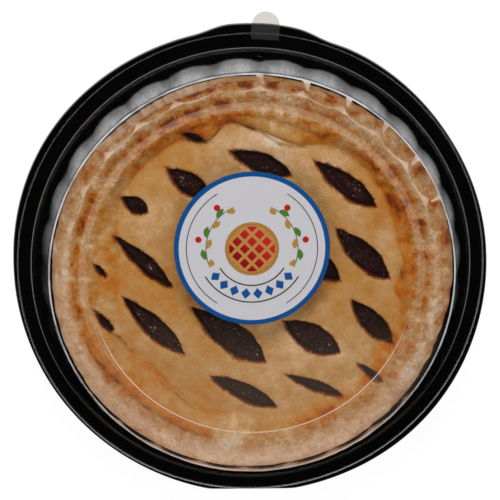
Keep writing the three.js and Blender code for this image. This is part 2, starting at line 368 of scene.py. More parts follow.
def ramp(low, high, value):
    """0 below low, 1 above high, and the S-curve t * t * (3 - 2 * t) between them."""
    t = np.clip((value - low) / (high - low), 0, 1)
    return t * t * (3 - 2 * t)


def hill(value, middle, reach):
    """A bell curve of height 1: e to the minus square of the distance over the reach."""
    return np.exp(-(((value - middle) / reach) ** 2))


print("a bell curve, one reach from its middle:", round(float(hill(1, 0, 1)), 2))

# %% Sections
ROUND_STEPS = 6  # points on each rounded corner


def rounded(corners):
    """A line through corners, each a row of radius, height, any more values, and a rounding. Near a
    corner it is the quadratic curve that starts and ends the rounding away from it on the two sides."""
    corners = np.asarray(corners, float)
    t = np.linspace(0, 1, ROUND_STEPS)[:, None]
    line = [corners[:1]]
    for before, corner, after in zip(corners[:-2], corners[1:-1], corners[2:]):
        ends = []
        for other in (before, after):
            share = corner[-1] / max(np.hypot(*(other - corner)[:2]), 1e-6)
            ends.append(corner + (other - corner) * min(share, 0.5))
        line.append((1 - t) ** 2 * ends[0] + 2 * t * (1 - t) * corner + t**2 * ends[1])
    return np.concatenate([*line, corners[-1:]])[:, :-1]


def filled(line, longest):
    """The line with points added on its long sides, so that no side is over the longest."""
    sides = np.hypot(*np.diff(line[:, :2], axis=0).T)
    parts = np.maximum(1, np.ceil(sides / longest)).astype(int)
    knots = np.concatenate([i + np.arange(n) / n for i, n in enumerate(parts)] + [[len(sides)]])
    return np.column_stack([np.interp(knots, np.arange(len(line)), column) for column in line.T])


def both_faces(line, thickness):
    """A sheet's section: the line, then back along the line moved square to itself, to its right as it
    runs outwards, by the thickness."""
    slope = np.gradient(line[:, :2], axis=0)
    slope /= np.maximum(np.hypot(*slope.T), 1e-9)[:, None]
    under = line.copy()
    under[:, 0] += slope[:, 1] * thickness * (line[:, 0] > 0)
    under[:, 1] -= slope[:, 0] * thickness
    return np.concatenate([line, under[::-1]])


corner = filled(rounded([(0, 0, 0), (10, 0, 2), (10, 10, 0)]), 1)
print("a rounded corner with sides of 10 mm has", len(corner), "points")

# %% Points and faces round the axis


def turns(columns, start=-180):
    """Evenly spaced angles of one turn, in degrees."""
    return start + np.arange(columns) * 360 / columns


def around_axis(r, z, angles):
    """Points at some distances from the axis and heights, in some directions in degrees."""
    turn = np.radians(angles)
    return np.stack(np.broadcast_arrays(r * np.cos(turn), r * np.sin(turn), z), -1)


def pushed_out(points, push, angles):
    """The points moved away from the axis by a push, each in its own direction."""
    return points + around_axis(push, 0, angles)


def grid_faces(rows, columns, wrap):
    """The quads of a grid numbered row by row. wrap joins the last column to the first."""
    row = np.arange(rows - 1)[:, None] * columns
    column = np.arange(columns if wrap else columns - 1)[None, :]
    following = (column + 1) % columns
    quads = [row + column, row + following, row + columns + following, row + columns + column]
    return np.stack(quads, -1).reshape(-1, 4)


print("three rings of eight points have", len(grid_faces(3, 8, True)), "faces between them")

# %% A mesh from arrays
WELD = 0.001  # mm


def new_piece(name, points, faces, finish, node, **values):
    """A smooth closed mesh from points in millimetres and arrays of quads or triangles. It rides on
    the pack's one body and stands for a packed node. Each value is a number for every point."""
    points = np.asarray(points, float).reshape(-1, 3)
    triangles = np.concatenate([f[:, [0, i, i + 1]] for f in faces for i in range(1, f.shape[1] - 1)])
    first, second, third = points[triangles].transpose(1, 0, 2)
    if np.einsum("ij,ij->", first, np.cross(second, third)) < 0:
        faces = [f[:, ::-1] for f in faces]
    counts = np.concatenate([np.full(len(f), f.shape[1]) for f in faces])
    corners = np.concatenate([f.ravel() for f in faces])
    mesh = bpy.data.meshes.new(name)
    mesh.vertices.add(len(points))
    mesh.vertices.foreach_set("co", (points * MM).ravel())
    mesh.loops.add(len(corners))
    mesh.loops.foreach_set("vertex_index", corners.astype(np.int32))
    mesh.polygons.add(len(counts))
    mesh.polygons.foreach_set("loop_start", (np.cumsum(counts) - counts).astype(np.int32))
    mesh.update(calc_edges=True)
    for key, value in values.items():
        layer = mesh.attributes.new(key, "FLOAT", "POINT")
        layer.data.foreach_set("value", np.asarray(value, np.float32).ravel())
    edit = bmesh.new()
    edit.from_mesh(mesh)
    bmesh.ops.remove_doubles(edit, verts=edit.verts, dist=WELD * MM)
    open_edges = sum(not edge.is_manifold for edge in edit.edges)
    edit.to_mesh(mesh)
    edit.free()
    mesh.polygons.foreach_set("use_smooth", np.ones(len(mesh.polygons), bool))
    mesh.materials.append(finish)
    piece = bpy.data.objects.new(name, mesh)
    bpy.context.scene.collection.objects.link(piece)
    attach(piece, "root")
    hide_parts(node)
    mesh.calc_loop_triangles()
    print(f"{name}: {len(mesh.loop_triangles)} triangles, {open_edges} open edges")


print("points nearer than", WELD, "mm become one")

# %% [markdown]
# Baked dough and drawn plastic are never even. Random numbers on a cubic lattice, blended smoothly,
# give a field that rises and dips at a chosen size, the same on every run. Adding finer and weaker
# copies gives the mix of lumps and grain that dough has.

# %% Unevenness
# Large odd numbers that scatter the bits of a place, one for each axis, and those of the seed.
PLACE_SCATTER = np.array([73856093, 19349663, 83492791], np.uint64)
SEED_SCATTER, LAST_SCATTER = 2654435761, np.uint64(2246822519)
LOW_BITS = np.uint64(65535)
LATTICE_START = 512  # cells added to every place, so that none is below zero


def lattice_noise(points, size, seed):
    """A field from -1 to 1. Each corner of the cube around a point has a random value, from mixing the
    bits of its whole-number place, and the eight are averaged with weights that ease in and out."""
    place = points / size + LATTICE_START
    cell = np.floor(place).astype(np.uint64)
    t = place - np.floor(place)
    t = t**3 * (t * (t * 6 - 15) + 10)
    total = np.zeros(points.shape[:-1])
    for corner in itertools.product((0, 1), repeat=3):
        key = (cell + np.array(corner, np.uint64)) * PLACE_SCATTER
        mixed = np.bitwise_xor.reduce(key, axis=-1) ^ np.uint64(seed * SEED_SCATTER)
        mixed = (mixed ^ (mixed >> np.uint64(15))) * LAST_SCATTER
        value = 2 * ((mixed ^ (mixed >> np.uint64(13))) & LOW_BITS).astype(float) / float(LOW_BITS) - 1
        total += value * np.prod(np.where(corner, t, 1 - t), axis=-1)
    return total


def lumps(points, size, seed, layers=3):
    """Lattice noise with layers of half the size and half the height added."""
    return sum(lattice_noise(points, size / 2**i, seed + i) / 2**i for i in range(layers))


sample = lumps(np.random.default_rng(1).uniform(-90, 90, (1000, 3)), 10, 3)
print("lumps range over", np.round([sample.min(), sample.max()], 2))

# %% [markdown]
# ## Tray
#
# The tray is pressed from one 0.8 mm black sheet: a flat floor, a slanting well, a flat land that the
# dome stands on, and a sloping flange with fine ridges that ends in a turned-down edge. A cylinder
# with bevels would miss the ridges that catch the light, so its section is drawn and turned. A rim so
# thin is never quite round. It bulges into a finger lip beside the lift tab, it is flat at -Y, where
# the pack can stand on edge, and it is warped by a millimetre or two.

# %% Tray section
TRAY_WALL = 0.8
TRAY_BOX = box_mm("tray")
TRAY_RADIUS, BEAD_TOP = TRAY_BOX[1][0], TRAY_BOX[1][2]
LAND = BEAD_TOP - 1  # height of the flat land
FLOOR_RADIUS, FOOT_RADIUS, FOOT_RISE = 79, 82.4, 2  # the floor's edge and the well's rounded foot
# Radius, height above the land and rounding, from the top of the well outwards.
TRAY_EDGE = [
    (97.2, -3.2, 2), (99.6, 0, 1.6), (108.4, 0, 1), (110.4, 1, 1.1), (112.3, 0.2, 0.7),
    (113.6, 0.1, 0.6), (114.3, -0.3, 0.4), (117.6, -1.4, 1.5), (119.0, -2.3, 0.6),
    (TRAY_RADIUS, -4.6, 0.2),
]


def tray_section():
    """The floor and well from the axis, then the edge's line, as one sheet."""
    foot = (FOOT_RADIUS, TRAY_WALL + FOOT_RISE, 2.5)
    inner = [(0, TRAY_WALL, 0), (FLOOR_RADIUS, TRAY_WALL, 1), foot]
    outer = [(r, LAND + z, rounding) for r, z, rounding in TRAY_EDGE]
    return both_faces(filled(rounded(inner + outer), 6), TRAY_WALL)


section = tray_section()
print("tray section:", len(section), "points, land at", round(LAND, 1), "mm")

# %% Tray rim
TRAY_COLUMNS = 360
FLANGE_FROM = 114.5  # radius outside which the rim isn't round
LIP_BULGE, LIP_FROM, LIP_TO, LIP_EASE = 2.4, 70, 104, 9  # the finger lip, in mm and degrees
STANDING_FLAT, FLAT_HALF = 1.6, 9.4  # the flat at -Y, in mm, and half its width in degrees
# The rim's warp: direction and reach in degrees, and size.
TRAY_SPOTS = [(148, 26, 1.5), (-45, 36, 1.9), (-95, 20, 0.8), (35, 18, -0.7), (75, 6, -0.8)]


def near(angles, middle, reach):
    """A bell curve of direction: 1 in the middle direction and 1/e the reach away from it."""
    return hill((angles - middle + 180) % 360, 180, reach)


def spots_at(spots, angles):
    """The sum of some bell curves of direction, each a middle, a reach and a size."""
    return sum(size * near(angles, middle, reach) for middle, reach, size in spots)


def tray_points(section, angles):
    """Turns the section. Outside the dome, the radius gains the finger lip, which eases in and out,
    and the rim's warp, and loses the standing flat, a parabola across its width."""
    r, z = section.T[:, :, None]
    outer = ramp(FLANGE_FROM, TRAY_RADIUS, r)
    lip = ramp(LIP_FROM, LIP_FROM + LIP_EASE, angles) * ramp(LIP_TO, LIP_TO - LIP_EASE, angles)
    flat = np.clip(1 - (np.abs(angles + 90) / FLAT_HALF) ** 2, 0, None)
    wide = r + outer * (LIP_BULGE * lip - STANDING_FLAT * flat + spots_at(TRAY_SPOTS, angles))
    return np.clip(around_axis(wide, z, angles), *TRAY_BOX)


points = tray_points(section, turns(TRAY_COLUMNS))
print("tray reaches, mm:", np.round(points.max((0, 1)), 1))

# %% Black plastic, and the tray as a piece
tray_finish, board = new_board("black_plastic")
here = board.place()
wear = board.noise(here, 9, 3)
gloss = board.noise(here, 1.4, 2)
black = board.mix(wear, (0.0012, 0.0011, 0.001), (0.003, 0.0028, 0.0026))
plastic = {"Base Color": black, "Roughness": 0.08 + 0.08 * gloss, "Specular IOR Level": 0.22}
plastic["Normal"] = board.bump(wear, 0.15, 0.3)
board.opaque(plastic)
new_piece("tray_shell", points, [grid_faces(len(section), TRAY_COLUMNS, True)], tray_finish, "tray")

# %% [markdown]
# ## Shape of the crust
#
# The top sheet of dough sags inside the rim, climbs it, is pressed into forty crimps and folds down
# over the edge. Its section gives the height at each distance from the middle. The valley inside the
# rim wanders: a list of places, by direction, says how far out it lies and how deep its crease is.
# Everything above the tray's land has slid a little towards -Y, until the dome's wall stopped it and
# pressed the dough's edge flat and up.

# %% Driving sizes of the pie
CRUST_BOX = box_mm("crust")
CRUST_ROOM = 0.03  # kept free inside the packed box
PIE_SLIDE, SLIDE_FROM, SLIDE_TO = -2.7, 26.5, 31  # the slide, and the heights between which it grows
PRESS_RADIUS, PRESS_HEIGHT, PRESS_SLOPE = 102.7, 28, -0.19  # the dome's wall inside, which leans in
DOUGH = 3.2  # thickness of the top sheet
CREASE_RADIUS = 73
EDGE_RADIUS = 98.7
# The top sheet's section: radius, height and rounding.
SHEET_SECTION = [
    (0, 39.2, 0), (22, 39, 9), (37, 38.6, 7), (50, 37.8, 6), (61, 36.5, 5), (69, 34.9, 3),
    (CREASE_RADIUS, 34.2, 2), (78.6, 36.6, 2.5), (82, 38.3, 2), (87, 37.9, 2.5), (91, 39.5, 2),
    (95.6, 38, 2), (98.3, 34.8, 2), (EDGE_RADIUS, 32.2, 1),
]
print("pie: edge at", EDGE_RADIUS, "mm, top at", max(z for _, z, _ in SHEET_SECTION), "mm")

# %% Waves and crimps round the rim
# Waves round the rim: count in one turn, size in mm and start in degrees.
EDGE_WAVES = [(5, 0.3, 34), (11, 0.25, 115)]  # in and out
FLARE_WAVES = [(1, 0.95, 169), (2, 1.3, 82)]  # in and out at the outer edge
SLUMP_WAVES = [(3, 0.5, 23), (7, 0.4, 97)]  # up and down
CRIMP_DRIFT = [(5, 1.6, 40), (13, 0.9, 0)]  # of the crimps along the rim, in degrees
# Spots where the outer edge flares: direction and reach in degrees, and size.
FLARE_SPOTS = [(36, 24, 3.0), (85, 22, 0.8), (124, 9, -1.4), (145, 10, 1.8), (-92, 45, 1.6)]
RIM_FROM, RIM_TO, FLARE_FROM = 84, 94, 88  # radii where the rim's and the edge's own shape set in
CRIMPS, CRIMP_LINE, CRIMP_REACH, CRIMP_HIGH = 40, 87.6, 5.2, 1.5  # count, radius, half width, height
FRONT_RISE = 2.4  # how much higher the edge stands where the dome's wall presses it


def waves_at(waves, angles):
    """The sum of some sine waves at some directions."""
    return sum(high * np.sin(np.radians(count * angles + start)) for count, high, start in waves)


def flare_at(angles):
    """How far the outer edge lies outside its mean line: slow waves and a few wide or narrow spots."""
    return waves_at(FLARE_WAVES, angles) + spots_at(FLARE_SPOTS, angles)


def front_rise(angles):
    """How much higher the outer edge stands where the pie has slid against the dome, towards -Y."""
    return FRONT_RISE * near(angles, -92, 42)


def crimps_at(angles):
    """The rim's row of crimps: 1 on a crimp and -1 between two. Slow waves set them unevenly."""
    return np.cos(np.radians(CRIMPS * (angles + waves_at(CRIMP_DRIFT, angles))))


def crimp_strength(angles):
    """How well the crimps were kept: fully at the back and sides, hardly at the front, towards -Y."""
    return 1 - 0.85 * near(angles, -95, 52)


flares = flare_at(turns(360))
print("the outer edge flares from", flares.min().round(1), "to", flares.max().round(1), "mm")

# %% Crease inside the rim
# The crease: direction in degrees, distance from the pie's middle, and depth.
CREASE = np.array([
    (-170, 67.8, 0.6), (-150, 70.5, 0.9), (-132, 69.0, 1.6), (-115, 72.6, 1.2), (-104, 73.3, 1.1),
    (-95, 70.8, 1.0), (-75, 74.5, 0.4), (-50, 76.0, 0.3), (-29, 74.1, 0.7), (-11, 77.5, 0.9),
    (-6, 71.2, 1.7), (4, 76.5, 1.5), (12, 74.1, 1.2), (30, 76.5, 0.5), (48, 77.5, 0.5), (60, 76.5, 1.0),
    (71, 69.8, 1.8), (79, 71.0, 2.2), (87, 74.0, 2.4), (94, 78.0, 2.2), (99, 79.5, 1.8), (105, 73.0, 2.6),
    (109, 72.0, 2.6), (117, 77.6, 1.2), (136, 76.9, 0.8), (149, 75.7, 0.7), (168, 66.8, 0.7),
])


def crease_at(angles):
    """Distance and depth of the crease in some directions, read off the list and eased over a few
    degrees by averaging eleven shifted copies."""
    fine = np.arange(-180, 180, 0.5)
    found = []
    for column in (1, 2):
        line = np.interp(fine, CREASE[:, 0], CREASE[:, column], period=360)
        line = sum(np.roll(line, shift) for shift in range(-5, 6)) / 11
        found.append(np.interp(angles, fine, line, period=360))
    return found


print("crease from", CREASE[:, 1].min(), "to", CREASE[:, 1].max(), "mm out")

# %% [markdown]
# Three kinds of mark lie on the sheet. Vents were cut through it with a knife, and one of them baked
# shut again. Tongues of dough were folded over the valley and pressed down; where one ends in an edge,
# the edge is a ledge that follows a drawn line. The dough also cracked in a few places. Each kind is a
# function of the place seen from above, so all can be added to the sheet's height.

# %% Vents
# Each vent's middle, half length, half width and direction in degrees.
VENTS = [
    (-29.5, 67.5, 6.2, 1.6, -19), (-31.3, 44.8, 12.9, 5.0, -35), (4.5, 54.4, 15.6, 5.0, -22),
    (46.2, 43.9, 19.4, 4.8, -37), (-57.9, 33.9, 7.0, 4.0, -30), (-21.2, 6.3, 17.5, 5.5, -38),
    (30.1, 6.8, 18.0, 5.5, -40), (55.0, 9.1, 18.7, 5.7, -44), (-75.3, 1.0, 4.6, 1.1, -49),
    (-53.7, 5.2, 18.9, 3.9, -42), (-11.1, -32.1, 23.2, 7.2, -38), (29.8, -33.3, 16.8, 6.8, -31),
    (60.4, -26.0, 15.4, 5.0, -48), (-73.3, -25.3, 6.8, 1.2, -53), (-49.1, -27.5, 20.6, 5.0, -43),
    (-4.0, -61.9, 18.4, 4.5, -27), (32.6, -59.5, 15.5, 2.6, -23), (59.9, -52.3, 6.9, 1.6, -35),
]
CLOSED_SLIT = (-37.5, -61.5, 14, -40)  # the slit that baked shut: middle, half length, direction


def along_across(x, y, middle_x, middle_y, way):
    """Distances from a middle along a direction in degrees, and square to it, towards its left."""
    c, s = np.cos(np.radians(way)), np.sin(np.radians(way))
    east, north = x - middle_x, y - middle_y
    return east * c + north * s, north * c - east * s


def level_spots(x, y):
    """Places at height 0, to read noise at."""
    return np.stack([x, y, 0 * x], -1)


def vent_place(x, y):
    """Distance outside the nearest vent in millimetres, below zero inside one, and the side of it: -1
    on its -X side and 1 on its +X side. A vent is an eye: the distance across, less a half width that
    falls as a parabola to its points, over the slope of that difference. Lumps make the cut ragged."""
    ragged = 0.35 * lumps(level_spots(x, y), 6, 11, 3)
    nearest, side = np.full(x.shape, 1e3), np.zeros(x.shape)
    for vent_x, vent_y, long, wide, way in VENTS:
        along, across = along_across(x, y + PIE_SLIDE, vent_x, vent_y, way)
        along = along / long
        along = along - 0.12 * np.clip(1 - along**2, 0, 1)
        edge = (np.abs(across) - wide * (1 - along**2)) / np.hypot(1, 2 * wide * along / long)
        side = np.where(edge < nearest, np.clip(across / wide, -1, 1), side)
        nearest = np.minimum(nearest, edge)
    return nearest + ragged * (nearest < 4), side


def closed_slit(x, y):
    """How deep in the shut slit each place is, from 0 to 1: a long bell with a flat top along it, and a
    sharp valley across."""
    slit_x, slit_y, long, way = CLOSED_SLIT
    along, across = along_across(x, y, slit_x, slit_y, way)
    return np.exp(-((along / long) ** 4) - np.abs(across) / 0.8)


print("vents:", len(VENTS), "the widest", 2 * max(vent[3] for vent in VENTS), "mm")

# %% Folds
# Folds: tongues of dough pressed down from the rim, each a place, half a length, half a width, a
# direction and a height.
FOLDS = [
    (6, 70, 22, 5, -21, 1.2), (-40, 66, 17, 6, -4, 1.6), (-35, -66, 22, 5, -32, 1.3),
    (76, 6, 10, 3.5, -75, 1.0),
]


def fold_rise(x, y):
    """Height of the folds: each is a long bell with a flat top along it and a round one across."""
    rise = np.zeros_like(x)
    for fold_x, fold_y, long, wide, way, high in FOLDS:
        along, across = along_across(x, y, fold_x, fold_y, way)
        rise = rise + high * np.exp(-((along / long) ** 4) - (across / wide) ** 2)
    return rise


print("folds:", len(FOLDS), "up to", max(fold[-1] for fold in FOLDS), "mm high")

# %% Ledges
# Ledges: where a tongue ends in an edge. Places along it with the tongue on the left, then the edge's
# height and how far back it slopes.
FRONT_LEDGE = [
    (-85, -24), (-81, -39), (-72, -51.5), (-59, -64.2), (-47, -73.8), (-33.2, -81.7), (-19, -86.2),
]
LEDGES = [
    (FRONT_LEDGE, 1.5, 5),
    ([(-14, 77.5), (-2.2, 72.7), (5.1, 69.3), (12.5, 64.4), (20.4, 62.4), (31, 62)], 2.2, 10),
    ([(-36, 71), (-28, 68.9), (-23.2, 66.8), (-18, 64.2)], 2.2, 8),
    ([(16, 74.5), (23.6, 71.8), (33, 67.9), (42.8, 64.2), (51, 57)], 1.2, 6),
    ([(-53.7, -50.6), (-63.5, -37.5), (-69.4, -30.7), (-77.2, -20.4)], 1.4, 7),
    ([(70.2, 10.7), (74.9, 0.5), (76.7, -9.8), (73.4, -20.1)], 1.7, 5),
]


def line_distance(x, y, line):
    """Distance from a line of places, above zero on its left, and how near its ends the closest place
    is: 0 at an end and 1 in the middle."""
    line = np.array(line) - [0, PIE_SLIDE]
    steps = np.diff(line, axis=0)
    lengths = np.hypot(*steps.T)
    passed = np.concatenate([[0], np.cumsum(lengths)])
    nearest, share = np.full(x.shape, 1e3), np.zeros(x.shape)
    for start, step, length, before in zip(line, steps, lengths, passed):
        east, north = x - start[0], y - start[1]
        along = np.clip((east * step[0] + north * step[1]) / length**2, 0, 1)
        away = np.hypot(east - along * step[0], north - along * step[1])
        left = np.where(step[0] * north > step[1] * east, 1, -1)
        closer = away < np.abs(nearest)
        nearest = np.where(closer, left * away, nearest)
        share = np.where(closer, (before + along * length) / passed[-1], share)
    return nearest, np.sqrt(4 * share * (1 - share))


def ledge_rise(x, y):
    """Height of the ledges, and how deep in a ledge's foot each place is, from 0 to 1, which becomes
    painted shade. A ledge is a steep step up to its height, a long slope back down, and a narrow groove
    at its foot, which lumps break up."""
    rise, foot = np.zeros_like(x), np.zeros_like(x)
    spot = level_spots(x, y)
    ragged = 0.35 * lattice_noise(spot, 3, 17)
    broken = np.clip(0.75 + 0.8 * lumps(spot, 7, 19, 2), 0, 1)
    for line, high, back in LEDGES:
        away, inner = line_distance(x, y, line)
        away = away + ragged
        rise = rise + high * inner * ramp(-0.3, 1.1, away) * hill(np.maximum(away, 0), 0, back)
        groove = inner * min(high / 1.6, 1) * np.exp(-np.abs(away + 0.3) / 1.1) * broken
        rise = rise - 0.9 * groove
        foot = np.maximum(foot, groove)
    return rise, foot


print("ledges:", len(LEDGES), "up to", max(high for _, high, _ in LEDGES), "mm high")

# %% Cracks and crumbs


def cracks(points):
    """Thin winding lines, 1 on them and 0 beside them, where soft noise crosses zero."""
    return np.exp(-np.abs(lumps(points, 8, 131, 3)) / 0.09)


def crumbliness(x, y, angles):
    """How crumbly the dough is, from 0 to 1: mostly towards the back, and more on the -X side."""
    crumbly = hill(x, -50, 15) * hill(y, 62, 16) + 0.5 * hill(x, 62, 14) * hill(y, 50, 16)
    return np.clip(crumbly + 0.35 * near(angles, 10, 50), 0, 1)


def crumbs_at(points):
    """How far crumbs and flakes rise: soft lumps, creased flakes where noise is folded at zero, and
    small crumbs."""
    blobs, flakes, crumbs = lumps(points, 5, 21, 3), lumps(points, 4.4, 27, 3), lumps(points, 2.3, 33, 2)
    return 0.6 * blobs + 0.6 - np.abs(flakes) + 0.5 * crumbs


rise = crumbs_at(np.random.default_rng(2).uniform(-90, 90, (1000, 3)))
print("crumbs rise from", rise.min().round(2), "to", rise.max().round(2))

# %% [markdown]
# The sheet is now put together. Moving a point along its section, rather than only up, lets the rim
# lean over the valley where it was folded. The order counts: the crease shifts the section first, the
# noise is read at the shifted places, and crimps, folds and cracks come on top.

# %% Surface of the top sheet


def section_at(share):
    """Distance and height on the top sheet's section, at a share of its length."""
    line = filled(rounded(SHEET_SECTION), 0.5)
    length = np.concatenate([[0], np.cumsum(np.hypot(*np.diff(line, axis=0).T))])
    return [np.interp(share * length[-1], length, column) for column in line.T]


def sheet_surface(share, angles):
    """The top sheet. share runs from 0 in the middle to 1 at the outer edge, in step with the length
    of the section. Returns the points before the slide, the distance outside the crease, how deep each
    lies in a crack, a ledge's foot, the shut slit or the crease, from 0 to 1, which the finish uses as
    painted shade, and how far its crumbs and flakes rise."""
    r, z = section_at(share)
    crease, depth = crease_at(angles)
    outside = r - CREASE_RADIUS
    r = r + (crease - CREASE_RADIUS) * np.where(outside < 0, hill(outside, 0, 16), hill(outside, 0, 7))
    strength = crimp_strength(angles)
    spot = around_axis(r, z, angles)
    # Hollows and lumps of several sizes, stronger on the rim, where the dough was handled.
    handled = ramp(0, 9, outside)
    z = z + 0.5 * np.sin(spot[..., 0] / 13 + 1) * np.cos(spot[..., 1] / 11) * (1 - handled)
    z = z + (0.35 + 0.45 * handled) * lumps(spot, 13, 5, 2)
    raised = crumbs_at(spot) * (0.2 + 0.8 * handled) * (1 - 0.35 * near(angles, -90, 60))
    z = z + 0.8 * raised
    # Crimps: round pads with narrow grooves between them, and the outer edge pushed in at the grooves.
    pad = 1 - ((1 - crimps_at(angles)) / 2) ** 2.5
    z = z + hill(r, CRIMP_LINE, CRIMP_REACH) * strength * CRIMP_HIGH * (pad - 0.62)
    z = z + ramp(66, 88, r) * waves_at(SLUMP_WAVES, angles) + ramp(91, 97.5, r) * front_rise(angles)
    push = waves_at(EDGE_WAVES, angles) + strength * 0.5 * (pad - 0.8)
    push = push + 0.55 * lumps(spot, 8, 31, 3) - 0.2
    r = r + ramp(RIM_FROM, RIM_TO, r) * push + ramp(FLARE_FROM, EDGE_RADIUS, r) * flare_at(angles)
    # The crease is a sharp valley; beside it the rim swells, and at a fold it leans over the valley.
    z = z - depth * np.exp(-np.abs(outside) / 1.3) + 0.35 * depth * hill(outside, 3.2, 2.0)
    r = r - 0.6 * depth * hill(outside, 1.6, 1.5)
    x, y = np.moveaxis(around_axis(r, z, angles), -1, 0)[:2]
    ledge, foot = ledge_rise(x, y)
    z = z + (fold_rise(x, y) + ledge) * (1 - ramp(88, 94, r))
    rough = crumbliness(x, y, angles) * ramp(-3, 2, outside) * (1 - ramp(84, 88, r))
    crack, slit = cracks(spot) * rough, closed_slit(x, y)
    z = z - crack + 0.8 * rough * lumps(spot, 5, 141, 3) - 1.3 * slit
    # Painted shade, from 0 to 1: deepest at a ledge's foot, in a crack, in the shut slit and along the
    # crease.
    crease_valley_shade = 0.28 * depth * np.exp(-np.abs(outside) / 0.8)
    painted_hollow_shade = np.maximum.reduce([foot, 0.8 * crack, 0.7 * slit, crease_valley_shade])
    return np.stack([x, y, z], -1), outside, painted_hollow_shade, raised


def slid(points):
    """The points moved towards -Y, fully above the tray's land and not at all below it. Where the edge
    meets the lid's wall it is pressed flat, so the distance from the axis stops at the wall's."""
    moved = points.copy()
    moved[..., 1] += PIE_SLIDE * ramp(SLIDE_FROM, SLIDE_TO, points[..., 2])
    limit = PRESS_RADIUS + PRESS_SLOPE * (moved[..., 2] - PRESS_HEIGHT)
    distance = np.maximum(np.hypot(moved[..., 0], moved[..., 1]), 1)
    moved[..., :2] *= np.minimum(1, limit / distance)[..., None]
    return np.clip(moved, CRUST_BOX[0] + CRUST_ROOM, CRUST_BOX[1] - CRUST_ROOM)


edge = slid(sheet_surface(np.ones(4), np.array([0, 90, 180, -90]))[0])
print("outer edge towards +X, +Y, -X and -Y, mm out:", np.hypot(*edge.T[:2]).round(1))

# %% A grid for the sheet
RING_CROWDING = 0.2  # how much closer than even the outer rings lie


def disc_grid(cells):
    """A square grid bent into a disc: squares become rings. Returns each point's share of the radius
    and its direction in degrees. The rings lie closer together towards the outside."""
    a, b = np.meshgrid(np.linspace(-1, 1, cells + 1), np.linspace(-1, 1, cells + 1), indexing="ij")
    share = np.maximum(np.abs(a), np.abs(b))
    flat = np.abs(a) > np.abs(b)
    safe_a, safe_b = np.where(a == 0, 1, a), np.where(b == 0, 1, b)
    sideways = 45 * b / safe_a + np.where(a < 0, 180, 0)
    upright = 90 - 45 * a / safe_b + np.where(b < 0, 180, 0)
    angles = (np.where(flat, sideways, upright) + 180) % 360 - 180
    share = share.ravel()
    return share * (1 + RING_CROWDING - RING_CROWDING * share), angles.ravel()


trial = sheet_surface(*disc_grid(60))[0]
print("sheet heights, mm:", np.round([trial[:, 2].min(), trial[:, 2].max()], 1))

# %% [markdown]
# ## Cutting the vents
#
# A knife slit opens in the oven into an eye with soft edges. A Boolean would leave long thin faces
# around each one. Instead the grid itself is fitted: points close to a vent's outline are pulled onto
# it, faces inside are dropped, and a face with two opposite corners on the outline is cut in half.
# The same faces again make the underside, and walls join the two around every hole.

# %% Pulling points onto the vents
SHEET_CELLS = 204
NUDGE = 0.02  # step in mm over which a slope is measured
LONGEST_PULL, FLATTEST = 0.7, 0.25  # limits of one pull, in mm and as the square of a slope


def pull_to_vents(points, faces):
    """Moves points onto the vents' outline where an edge crosses it, and returns them with their side:
    -1 inside, 0 on the outline, 1 outside. A point moves along the slope of the distance."""
    flat = points.copy()

    def distance(spots):
        return vent_place(spots[:, 0], spots[:, 1])[0]

    value = distance(flat)
    edges = np.concatenate([faces[:, [i, (i + 1) % 4]] for i in range(4)])
    first, second = edges[value[edges[:, 0]] * value[edges[:, 1]] < 0].T
    chosen = np.unique(np.where(np.abs(value[first]) < np.abs(value[second]), first, second))
    spots = flat[chosen]
    for _ in range(3):
        here = distance(spots)
        slope = np.stack([distance(spots + step) - here for step in NUDGE * np.eye(3)[:2]], -1) / NUDGE
        pull = here / np.maximum((slope**2).sum(-1), FLATTEST)
        spots[:, :2] -= np.clip(pull[:, None] * slope, -LONGEST_PULL, LONGEST_PULL)
    flat[chosen, :2] = spots[:, :2]
    side = np.sign(value)
    side[chosen] = 0
    return flat, side


share, angles = disc_grid(SHEET_CELLS)
surface, outside, painted_hollow_shade, raised = sheet_surface(share, angles)
quads = grid_faces(SHEET_CELLS + 1, SHEET_CELLS + 1, False)
surface, side = pull_to_vents(surface, quads)
print("points on the vents' outlines:", int((side == 0).sum()))

# %% Cutting the faces


def cut_faces(faces, side, middle):
    """The quads and triangles that stay: those with no corner inside, and half of those that a pulled
    diagonal parts. A quad with all its corners on the outline stays if its middle is outside."""
    corners = side[faces]
    on_line = (corners == 0).all(1)
    stay = (corners >= 0).all(1) & (~on_line | (middle > 0))
    halves = []
    for turn in range(4):
        order = [(turn + i) % 4 for i in range(4)]
        found = corners[:, order]
        parted = (found[:, 0] > 0) & (found[:, 1] == 0) & (found[:, 2] < 0) & (found[:, 3] == 0)
        halves.append(faces[parted][:, [order[3], order[0], order[1]]])
    return [faces[stay], np.concatenate(halves)]


centre = surface[quads].mean(1)
kept = cut_faces(quads, side, vent_place(centre[:, 0], centre[:, 1])[0])
print("vents cut:", len(VENTS), "with", len(kept[1]), "half faces along them")

# %% Soft edges of the vents
# How far a vent's edge dips and from how far out, and what the -X edge has more, where the knife
# dragged the dough down.
EDGE_DIP, EDGE_REACH, DRAGGED_DIP, DRAGGED_REACH = 0.5, 1.6, 1.0, 1.8

open_by, vent_side = vent_place(surface[:, 0], surface[:, 1])
low_side = ramp(0.3, -0.3, vent_side)
dip, reach = EDGE_DIP + DRAGGED_DIP * low_side, EDGE_REACH + DRAGGED_REACH * low_side
surface[:, 2] -= dip * (1 - ramp(0, reach, open_by)) ** 2
print("vents' edges dip by up to", round(float(dip.max()), 1), "mm")
